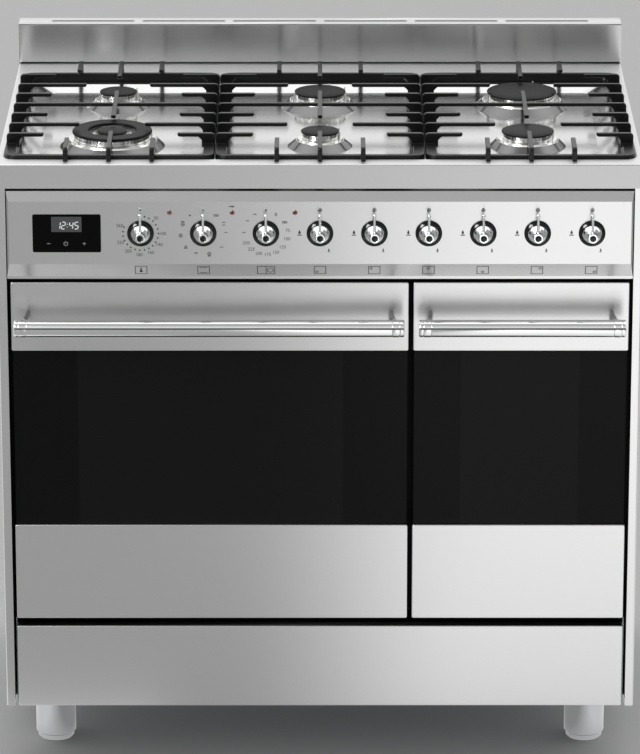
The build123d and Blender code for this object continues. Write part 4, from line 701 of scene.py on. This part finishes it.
class COOKER_OT_sheets(bpy.types.Operator):
    """Finish the folded sheets of the casing."""

    bl_idname = "cooker.sheets"
    bl_label = "Sheets"

    def execute(self, context):
        fronts = ("drawer_front", "main_door_skins", "aux_door_skins")
        dress(brushed_stainless("brushed stainless", "x"), "control_panel", *fronts)
        fine = brushed_stainless("fine brushed stainless", "x", rough=0.17, spread=0.3)
        upward = 0.4
        dress_zone("control_panel", fine, lambda centre, normal: normal[:, 2] > upward)
        soften(0.8, *fronts)
        # The splashback's steel is painted a shade darker than the fronts: painted shade.
        shade = linear("C8C8C8")
        bright = brushed_stainless("bright brushed stainless", "x", rough=0.26, spread=1.0, shade=shade)
        dress(bright, "splashback")
        # The inner faces of the vent channel are painted dark: painted shade.
        dress_zone("splashback", duct_painted_shade(), self.inside_duct)
        dress(brushed_stainless("brushed side sheet", "z"), "left_side_panel", "right_side_panel")
        plain = ("back_panel", "base_frame", "hinge_brackets", "drawer_box", "drawer_guides")
        dress(galvanised_sheet(), *plain)
        self.worktop()
        return {"FINISHED"}

    def inside_duct(self, centre, normal):
        """True for the inner faces of the splashback's channel: those off its outermost planes."""
        low, high = corners("splashback")
        skin = 0.4
        return np.all((centre > low + skin) & (centre < high - skin), axis=1)

    def worktop(self):
        """Finish the hob sheet by zone: bright pan, satin rim, cones painted darker as painted shade, and a
        matt apron painted darker as painted shade.
        """
        top = corners("hob_top")[1][2]
        rim, cone_head, cone_foot = top - 4, top - 3.5, top - 13.8
        steepest, flattest = 0.5, 0.9
        forward, edge = -0.8, FRONT + 1

        def cone(centre, normal):
            """True for the slopes between the pan and the rim, off the well's walls."""
            between = (centre[:, 2] > cone_foot) & (centre[:, 2] < cone_head)
            return between & (normal[:, 2] > steepest) & (normal[:, 2] < flattest)

        def apron(centre, normal):
            """True for the faces that look forward at the worktop's front edge."""
            return (normal[:, 1] < forward) & (centre[:, 1] < edge)

        dress(polished_stainless(), "hob_top")
        dress_zone("hob_top", satin_stainless(), lambda centre, normal: centre[:, 2] > rim)
        # The cones get a darker copy of the stainless: painted shade.
        dress_zone("hob_top", shaded_cone_stainless(), cone)
        # The apron's steel is painted darker than the other stainless: painted shade.
        shade = linear("C6C6C6")
        matt = brushed_stainless("matt brushed stainless", "x", rough=0.42, spread=0.35, shade=shade)
        dress_zone("hob_top", matt, apron)


class COOKER_OT_hob(bpy.types.Operator):
    """Finish the pan supports and burners."""

    bl_idname = "cooker.hob"
    bl_label = "Hob"

    def execute(self, context):
        supports = [f"pan_support_{side}" for side in ("left", "centre", "right")]
        dress(cast_iron(), *supports)
        soften(1.0, *supports)
        dress(cap_enamel(), "burner_caps", "front_frame")
        soften(0.6, "burner_caps")
        dress(cast_aluminium(), "burner_crowns", "burner_cups", "gas_pipes")
        dress(glazed_ceramic(), "burner_probes")
        return {"FINISHED"}


class COOKER_OT_ovens(bpy.types.Operator):
    """Finish the ovens, doors, feet, lamps and inner works."""

    bl_idname = "cooker.ovens"
    bl_label = "Ovens"

    def execute(self, context):
        enamelled = ("main_oven_liner", "aux_oven_liner", "oven_tray", "main_door_frame", "aux_door_frame")
        dress(oven_enamel(), *enamelled)
        dress(heater_alloy(), "heating_elements", "fan_housing", "convection_fan")
        dress(chrome_plate(), "oven_racks")
        dress(black_glass(), "main_door_glass", "aux_door_glass")
        dress(lamp_glass(), "oven_lamps")
        dress(machined_brass(), "gas_rail", *[f"{name}_tap_collar" for name in GAS_KNOBS])
        dress(mineral_wool(), "oven_insulation")
        dress(silicone_rubber(), "door_seals")
        dress(phenolic(), "oven_switches", "rear_connections")
        dress(turned_aluminium(), "levelling_feet")
        dress(smoked_acrylic(), "clock_module")
        dress(amber_acrylic("amber acrylic", settings("finish").amber), "indicator_lamps")
        rim = amber_acrylic("frosted amber acrylic", settings("finish").amber_rim)
        forward = -0.86
        dress_zone("indicator_lamps", rim, lambda centre, normal: normal[:, 1] > forward)
        return {"FINISHED"}


class COOKER_OT_knobs(bpy.types.Operator):
    """Turn the nine knobs: flared skirt, hub with a black dot, and a lever that ends in a ball."""

    bl_idname = "cooker.knobs"
    bl_label = "Knobs"

    def execute(self, context):
        size = sizes_of("controls")
        finishes = (reuse("chrome plate", chrome_plate), gloss_plastic())
        share, full = capped(12)
        axis, width, thickness = 17.2 - 1.2 * share, 4.6 - 1.6 * share, 6.2 - 2.6 * share
        spine = np.stack([0 * share, size["lever_reach"] * share, axis], axis=-1)
        lever = loft(spine, width * full, thickness * full)
        ball_radius, stem, behind, front = 2.7, 4, -14, 6
        tip = lathe(ball(ball_radius), 24) + spine[-1]
        spindle = lathe([(0, behind), (stem, behind), (stem, front), (0, front)], 24)
        body = lathe(self.body(size["knob_radius"], size["hub_radius"], size["dot_radius"]), 56)
        disc = lathe(self.disc(size["dot_radius"] - 0.1), 40)
        grids = ((body, 0), (lever, 0), (tip, 0), (disc, 1), (spindle, 0))
        for name in KNOBS:
            shapes = [(*quads(on_panel(grid, *knob_place(name))), paint) for grid, paint in grids]
            piece(f"{name}_lever_knob", shapes, finishes, f"{name}_control", (f"{name}_knob",))
        return {"FINISHED"}

    def body(self, skirt, hub, dot):
        """Profile of skirt and hub with the recess of the dot, its heights counted from the panel."""
        foot, edge, shoulder, neck, face, recess = 4.6, 6.6, 9.4, 14.8, 28, 26.5
        taper = 2.2
        outline = [(0, foot), (skirt, foot), (skirt, edge), (skirt - taper, shoulder), (hub, neck)]
        outline += [(hub, face), (dot, face), (dot, recess), (0, recess)]
        return rounded(outline, (0.8, 0.9, 3.0, 2.2, 1.0, 0.35, 0))

    def disc(self, radius):
        """Profile of the black dot: a low disc with a slightly crowned face."""
        foot, edge, crown = 26, 27.4, 28.1
        return rounded([(0, foot), (radius, foot), (radius, edge), (0, crown)], (0, 0.5))


class COOKER_OT_bezels(bpy.types.Operator):
    """Turn the nine black rings behind the knobs: a low flange and a rounded inner ring."""

    bl_idname = "cooker.bezels"
    bl_label = "Bezels"

    def execute(self, context):
        size = sizes_of("controls")
        outer, inner = size["bezel_outer"], size["bezel_inner"]
        step, crest = outer - 1.7, inner + 0.5
        seam, flange, step_foot, step_head, top, lip = 2.0, 1.5, 2.0, 2.6, 5.0, 4.4
        outline = [(inner, seam), (inner, 0), (outer, 0), (outer, flange), (step, step_foot)]
        outline += [(step, step_head), (crest, top), (inner, lip), (inner, seam)]
        ring = lathe(rounded(outline, (0, 0.3, 0.5, 0.15, 0.4, 0.5, 0.4))[:-1], 64)
        shapes = [(*quads(on_panel(ring, *knob_place(name)), True), 0) for name in KNOBS]
        black = (reuse("gloss ABS", gloss_plastic),)
        piece("black_bezels", shapes, black, BODY, ("knob_bezels",))
        return {"FINISHED"}


class COOKER_OT_handles(bpy.types.Operator):
    """Turn the two door handles: a bar with collars and end caps on two slanted blades."""

    bl_idname = "cooker.handles"
    bl_label = "Handles"

    def execute(self, context):
        radius = sizes_of("controls")["bar_radius"]
        # The posts' darker grey is painted shade.
        finishes = (drawn_stainless(), shaded_post_metal())
        inset = 13
        for door in DOORS:
            low, high = corners(door + "_handle")
            height = (low[2] + high[2]) / 2
            depth = low[1] + (high[2] - low[2]) / 2
            skin = corners(door + "_skins")[0][1]
            bar = lathe(self.bar(radius, high[0] - low[0]), 48)
            bar = np.stack([low[0] + bar[..., 2], depth + bar[..., 0], height + bar[..., 1]], axis=-1)
            shapes = [(*quads(bar), 0)]
            for x, way in ((low[0] + inset, 1), (high[0] - inset, -1)):
                blade = self.blade(x, way, depth + radius, skin, height, 2 * radius)
                shapes.append((*quads(blade), 1))
            piece(door + "_bar", shapes, finishes, door, (door + "_handle",))
        return {"FINISHED"}

    def bar(self, radius, reach):
        """Profile of a bar: at each end a cap, a groove, a raised collar and a finer groove."""
        groove, ridge, nick = radius - 0.8, radius + 0.3, radius - 0.5
        cap, collar, collar_end, plain = 6, 6.7, 16.6, 17.2
        end = [(0, 0), (radius, 0), (radius, cap), (groove, cap), (groove, collar), (ridge, collar)]
        end += [(ridge, collar_end), (nick, collar_end), (nick, plain), (radius, plain)]
        outline = np.array(end + [(r, reach - along) for r, along in reversed(end)])
        radii = (2.2, 0.3, 0.2, 0.2, 0.5, 0.5, 0.2, 0.2, 0.3)
        return rounded(outline, radii + radii[::-1], 5)

    def blade(self, x, way, front, skin, height, thickness):
        """Post from the bar's back at depth front to the door's skin, bending sideways as s (2 - s)."""
        share, full = capped(14)
        bite, sink, lean, width, margin = 2, 0.3, 4, 8.4, 1
        start = front - bite
        out = start + (skin + sink - start) * share
        spine = np.stack([x + way * lean * share * (2 - share), out, height + 0 * share], axis=-1)
        return loft(spine, width * full, (thickness - margin) * full, power=2.2, turns=36)


class COOKER_OT_screws(bpy.types.Operator):
    """Drive hexagon-washer screws into the edges of the back panel."""

    bl_idname = "cooker.screws"
    bl_label = "Screws"

    def execute(self, context):
        washer, hexagon, crown = 4.8, 4.0, 3.4
        flange = [(0, 0), (washer, 0), (washer, 0.8), (hexagon, 1.3), (0, 1.3)]
        head = [(0, 1.2), (hexagon, 1.2), (hexagon, 3.8), (crown, 4.4), (0, 4.6)]
        grids = (lathe(rounded(flange, (0, 0.3, 0.3), 4), 24), lathe(rounded(head, (0, 0.2, 0.2), 3), 6))
        low, high = corners("back_panel")
        corner, edge, side, span = 60, 14, 36, 150
        columns = np.linspace(low[0] + corner, high[0] - corner, 5)
        rows = np.linspace(low[2] + span, high[2] - span, 3)
        spots = [(x, z) for x in columns for z in (low[2] + edge, high[2] - edge)]
        spots += [(x, z) for x in (low[0] + side, high[0] - side) for z in rows]
        shapes = []
        for x, z in spots:
            for grid in grids:
                placed = np.stack([x - grid[..., 0], high[1] + grid[..., 2], z + grid[..., 1]], axis=-1)
                shapes.append((*quads(placed), 0))
        piece("casing_screws", shapes, (zinc_plate(),), BODY)
        return {"FINISHED"}


class COOKER_OT_marks(bpy.types.Operator):
    """Print the dots, numbers and signs round the knobs and the boxes on the lower slope."""

    bl_idname = "cooker.marks"
    bl_label = "Marks"

    def execute(self, context):
        size = sizes_of("print")
        drawn = signs(size["line"])
        shapes = []
        for name, dial in self.dials(size, drawn).items():
            x, z = knob_place(name)
            shapes += printed(dial, lambda flat: on_panel(flat, x, z))
        x, z = knob_place("main_selector")
        right, up = 39, 38.6
        shapes += printed(moved(drawn["probe"], right, up), lambda flat: on_panel(flat, x, z))
        for name in KNOBS:
            x = knob_place(name)[0]
            shapes += printed(self.box(name, size["line"]), lambda flat: self.on_slope(flat, x))
        made = piece("panel_marks", shapes, (panel_ink(),), BODY, solid=False)
        thicken(made, "ink film", settings("print").lift)
        return {"FINISHED"}

    def dials(self, size, drawn):
        """Marks round each knob, flat and about the knob's axis."""
        ring, height = size["number_ring"], size["number"]
        dot = [circle(size["dot"], steps=14)]
        first, last, count = 13.5, 291.2, 19
        step = (last - first) / (count - 1)
        zero, wide_ring = 33.4, ring + 0.4
        large_left, small_ring, small_degrees = -28.4, 27.7, 153.6
        dials = {name: [] for name in KNOBS}
        for k in range(count):
            dials["main_thermostat"] += round_dial(dot, size["dot_ring"], first + step * k)
        for k, text in THERMOSTAT.items():
            dials["main_thermostat"] += round_dial(number(text, height), wide_ring, first + step * (k - 1))
        for degrees, kind in SELECTOR.items():
            dials["main_selector"] += round_dial(drawn[kind], size["sign_ring"], degrees)
        for degrees, kind in AUX_SIGNS.items():
            dials["aux_selector"] += round_dial(drawn[kind], ring, degrees)
        for degrees, text in AUX_NUMBERS.items():
            dials["aux_selector"] += round_dial(number(text, height), ring, degrees)
        for name in KNOBS:
            dials[name] += moved(dot, 0, zero)
        for name in GAS_KNOBS:
            dials[name] += moved(drawn["off"], 0, zero) + moved(drawn["large_flame"], large_left, 0)
            dials[name] += round_dial(drawn["small_flame"], small_ring, small_degrees)
        return dials

    def box(self, name, line):
        """Boxed sign of what a knob serves: a burner's place is a small ring in its corner of the box."""
        if name == "aux_selector":
            halves = ribbon(tile(24, 15), line, True) + ribbon(circle(4.2, 6), line, True)
            return halves + ribbon([(0, -7), (0, 7)], line)
        outline = ribbon(tile(16, 15), line, True)
        if name == "main_thermostat":
            return outline + [circle(2.2, 0, -2.2, 16), tile(1.8, 7.4, 0, 1.6)]
        if name == "main_selector":
            return outline + ribbon([(-5, 4.8), (5, 4.8)], line) + ribbon([(-5, -4.8), (5, -4.8)], line)
        side, row = name.split("_")
        x = {"left": -4.4, "centre": 0, "right": 4.4}[side]
        y = {"rear": 3.4, "front": -3.4}[row]
        return outline + ribbon(circle(1.7, x, y, 14), line, True)

    def on_slope(self, points, x):
        """Place flat points on the sloping lower edge of the panel, below a knob at x."""
        foot, head = 4, 25
        low = np.array([FRONT, PANEL_FOOT + foot])
        high = np.array([PANEL_FACE, PANEL_FOOT + head])
        along = (high - low) / np.linalg.norm(high - low)
        y, z = [(low + high)[k] / 2 + points[..., 1] * along[k] for k in range(2)]
        return np.stack([x + points[..., 0], y, z], axis=-1)


class COOKER_OT_clock(bpy.types.Operator):
    """Clock display with its digits and touch marks on the clock's pane."""

    bl_idname = "cooker.clock"
    bl_label = "Clock"

    def execute(self, context):
        low, high = corners("clock_module")
        x, z = (low[0] + high[0]) / 2, (low[2] + high[2]) / 2
        film = [tile(42, 21.9, -0.2, 13)]
        digits_up, touch_up, line = 11.4, -14.8, 0.8
        light = []
        for mark, right in zip("12:45", (-11.3, -4.3, 1.0, 6.4, 13.8)):
            light += moved(self.glyph(mark), right, digits_up)
        minus = ribbon([(-2.3, 0), (2.3, 0)], line)
        plus = minus + ribbon([(0, 0.4), (0, 2.3)], line) + ribbon([(0, -2.3), (0, -0.4)], line)
        power = ribbon(circle(2.7, 0, 0, 19, 120, 300), line) + ribbon([(0, 0.6), (0, 3.6)], line)
        touch = []
        for mark, right in ((minus, -25.3), (plus, 24.2), (power, -1.3)):
            touch += moved(mark, right, touch_up)
        shapes = []
        for paint, (polygons, lift) in enumerate(((film, 0.03), (light, 0.06), (touch, 0.03))):
            raised = np.array([0, 0, lift])
            shapes += printed(polygons, lambda flat: on_panel(flat + raised, x, z, low[1]), paint)
        lights = (display_light("digit light", 0.7), display_light("touch mark light", 0.12))
        made = piece("clock_display", shapes, (display_film(), *lights), BODY, solid=False)
        thicken(made, "display film", 0.02 * MM)
        return {"FINISHED"}

    def glyph(self, mark):
        """Slanted seven-segment digit 6 by 11 mm, or the colon."""
        if mark == ":":
            return [tile(1.1, 1.1, 0.25, 2.0), tile(1.1, 1.1, -0.25, -2.0)]
        half, rise, gap, width, slant = 2.4, 4.9, 0.55, 1.25, 0.12
        x, y = half - gap, rise - gap
        ends = {
            "a": [(-x, rise), (x, rise)],
            "b": [(half, y), (half, gap)],
            "c": [(half, -gap), (half, -y)],
            "d": [(-x, -rise), (x, -rise)],
            "e": [(-half, -gap), (-half, -y)],
            "f": [(-half, y), (-half, gap)],
            "g": [(-x, 0), (x, 0)],
        }
        bars = [ribbon(ends[key], width)[0] for key in DIGITS[mark]]
        return [bar + np.stack([slant * bar[:, 1], 0 * bar[:, 1]], axis=-1) for bar in bars]


class COOKER_OT_stage(bpy.types.Operator):
    """Floor, soft box, surroundings and camera."""

    bl_idname = "cooker.stage"
    bl_label = "Stage"

    def execute(self, context):
        stage = settings("stage")
        scene = context.scene
        scene.view_settings.view_transform = "Standard"
        half = 30.0
        ground = bpy.data.meshes.new("floor")
        square = [(-half, -half, 0), (half, -half, 0), (half, half, 0), (-half, half, 0)]
        ground.from_pydata(square, [], [(0, 1, 2, 3)])
        floor = put("floor", ground)
        ground.materials.append(self.paper(stage.floor))
        self.surroundings(scene)
        self.softbox()
        eye = bpy.data.cameras.new("camera")
        eye.lens = stage.focal
        eye.sensor_width = 36
        camera = put("camera", eye)
        camera.location = (0, FRONT * MM - stage.distance, stage.height)
        camera.rotation_euler = (np.pi / 2 - stage.pitch, 0, 0)
        scene.camera = camera
        return {"FINISHED"}

    def paper(self, shade):
        """Paper floor; in reflections it is a light table, brighter to the right and further off.

        Each ramp runs between two places on an axis in metres, from one level to another. A bright card
        lies before the left foot, and under the cooker the table brightens outwards.
        """
        made = finish("studio paper", shade, rough=0.7, grain=40, tint=0.01, gloss=0.02)
        tree = made.node_tree
        x, y, _ = axes(tree, "Object")
        outward = calculate(tree, "ABSOLUTE", x)
        ramps = {
            "right": (x, -0.14, 0.24, 0, 1, "SMOOTHSTEP"),
            "right end": (x, 1.0, 1.8, 1, 0, "SMOOTHSTEP"),
            "front": (y, -0.5, -0.3, 1, 0, "SMOOTHSTEP"),
            "left level": (y, -0.5, -2.4, 0.46, 0.5, "LINEAR"),
            "right level": (y, -0.5, -2.4, 1.08, 1.75, "LINEAR"),
            "near": (y, -0.47, -0.43, 0, 1, "LINEAR"),
            "far left": (x, -0.2, -0.27, 0, 1, "LINEAR"),
            "under": (y, -0.4, -0.34, 0, 1, "LINEAR"),
            "under level": (outward, 0.31, 0.47, 0.42, 0.98, "LINEAR"),
        }
        limits = ("Value", "From Min", "From Max", "To Min", "To Max")
        ramp = {}
        for name, (*row, curve) in ramps.items():
            ranged = add(tree, "ShaderNodeMapRange", dict(zip(limits, row)), interpolation_type=curve)
            ramp[name] = ranged.outputs[0]
        lit = calculate(tree, "MULTIPLY", ramp["right"], ramp["right end"])
        lit = calculate(tree, "MULTIPLY", lit, ramp["front"])
        card = calculate(tree, "MULTIPLY", ramp["near"], ramp["far left"])
        card_level = 1.15
        level = ramp["left level"]
        layers = ((lit, ramp["right level"]), (card, card_level), (ramp["under"], ramp["under level"]))
        for share, other in layers:
            level = add(tree, "ShaderNodeMix", {0: share, 2: level, 3: other}).outputs[0]
        table = add(tree, "ShaderNodeEmission", {"Strength": level}).outputs[0]
        glossy = add(tree, "ShaderNodeLightPath").outputs["Is Glossy Ray"]
        both = {0: glossy, 1: tree.nodes["shader"].outputs["BSDF"], 2: table}
        surface = add(tree, "ShaderNodeMixShader", both).outputs[0]
        tree.links.new(surface, tree.get_output_node("ALL").inputs["Surface"])
        return made

    def surroundings(self, scene):
        """World whose brightness follows the angle from the front horizon over the top to the rear one."""
        world = bpy.data.worlds.new("studio")
        scene.world = world
        world.use_nodes = True
        tree = world.node_tree
        tree.nodes.clear()
        _, y, z = axes(tree, "Generated")
        ahead = calculate(tree, "MULTIPLY", y, -1)
        angle = calculate(tree, "ARCTAN2", z, ahead)
        share = calculate(tree, "DIVIDE", angle, np.pi)
        ramp = add(tree, "ShaderNodeValToRGB", {"Fac": share})
        stops = ramp.color_ramp.elements
        while len(stops) < len(SKY):
            stops.new(0.5)
        for stop, (degrees, level) in zip(stops, SKY.items()):
            stop.position = degrees / 180
            stop.color = (level, level, level, 1)
        strength = 1.1
        glow = add(tree, "ShaderNodeBackground", {"Color": ramp.outputs[0], "Strength": strength})
        add(tree, "ShaderNodeOutputWorld", {"Surface": glow.outputs[0]})

    def softbox(self):
        """Square soft light high on the left, facing the cooker; it shows only in reflections."""
        place, aim = Vector((-2.3, -2.4, 2.9)), Vector((0, 0, 0.7))
        lamp = bpy.data.lights.new("upper left box", "AREA")
        lamp.shape = "SQUARE"
        lamp.size = 1.4
        lamp.energy = 140
        box = put("upper left box", lamp)
        box.location = place
        box.rotation_euler = (aim - place).to_track_quat("-Z", "Y").to_euler()
        box.visible_camera = False
        box.visible_diffuse = False


class COOKER_PT_sidebar(bpy.types.Panel):
    """Sidebar list of the cooker's steps and settings."""

    bl_idname = "COOKER_PT_sidebar"
    bl_label = "Range cooker"
    bl_space_type = "VIEW_3D"
    bl_region_type = "UI"
    bl_category = "Cooker"

    def draw(self, context):
        for step in STEPS:
            self.layout.operator(step.bl_idname)
        for name, group in GROUPS.items():
            for key in group.__annotations__:
                self.layout.prop(settings(name), key)


GROUPS = {"finish": CookerFinish, "print": CookerPrint, "controls": CookerControls, "stage": CookerStage}
STEPS = (
    COOKER_OT_sheets,
    COOKER_OT_hob,
    COOKER_OT_ovens,
    COOKER_OT_knobs,
    COOKER_OT_bezels,
    COOKER_OT_handles,
    COOKER_OT_screws,
    COOKER_OT_marks,
    COOKER_OT_clock,
    COOKER_OT_stage,
)
CLASSES = (*GROUPS.values(), *STEPS, COOKER_PT_sidebar)


def register():
    """Register the groups, steps and panel."""
    for kind in CLASSES:
        bpy.utils.register_class(kind)
    for key, kind in GROUPS.items():
        setattr(bpy.types.Scene, "cooker_" + key, bpy.props.PointerProperty(type=kind))


def unregister():
    """Undo register."""
    for key in GROUPS:
        delattr(bpy.types.Scene, "cooker_" + key)
    for kind in reversed(CLASSES):
        bpy.utils.unregister_class(kind)


def main():
    """Run every step."""
    register()
    for step in STEPS:
        group, action = step.bl_idname.split(".")
        getattr(getattr(bpy.ops, group), action)()


if __name__ == "__main__":
    main()
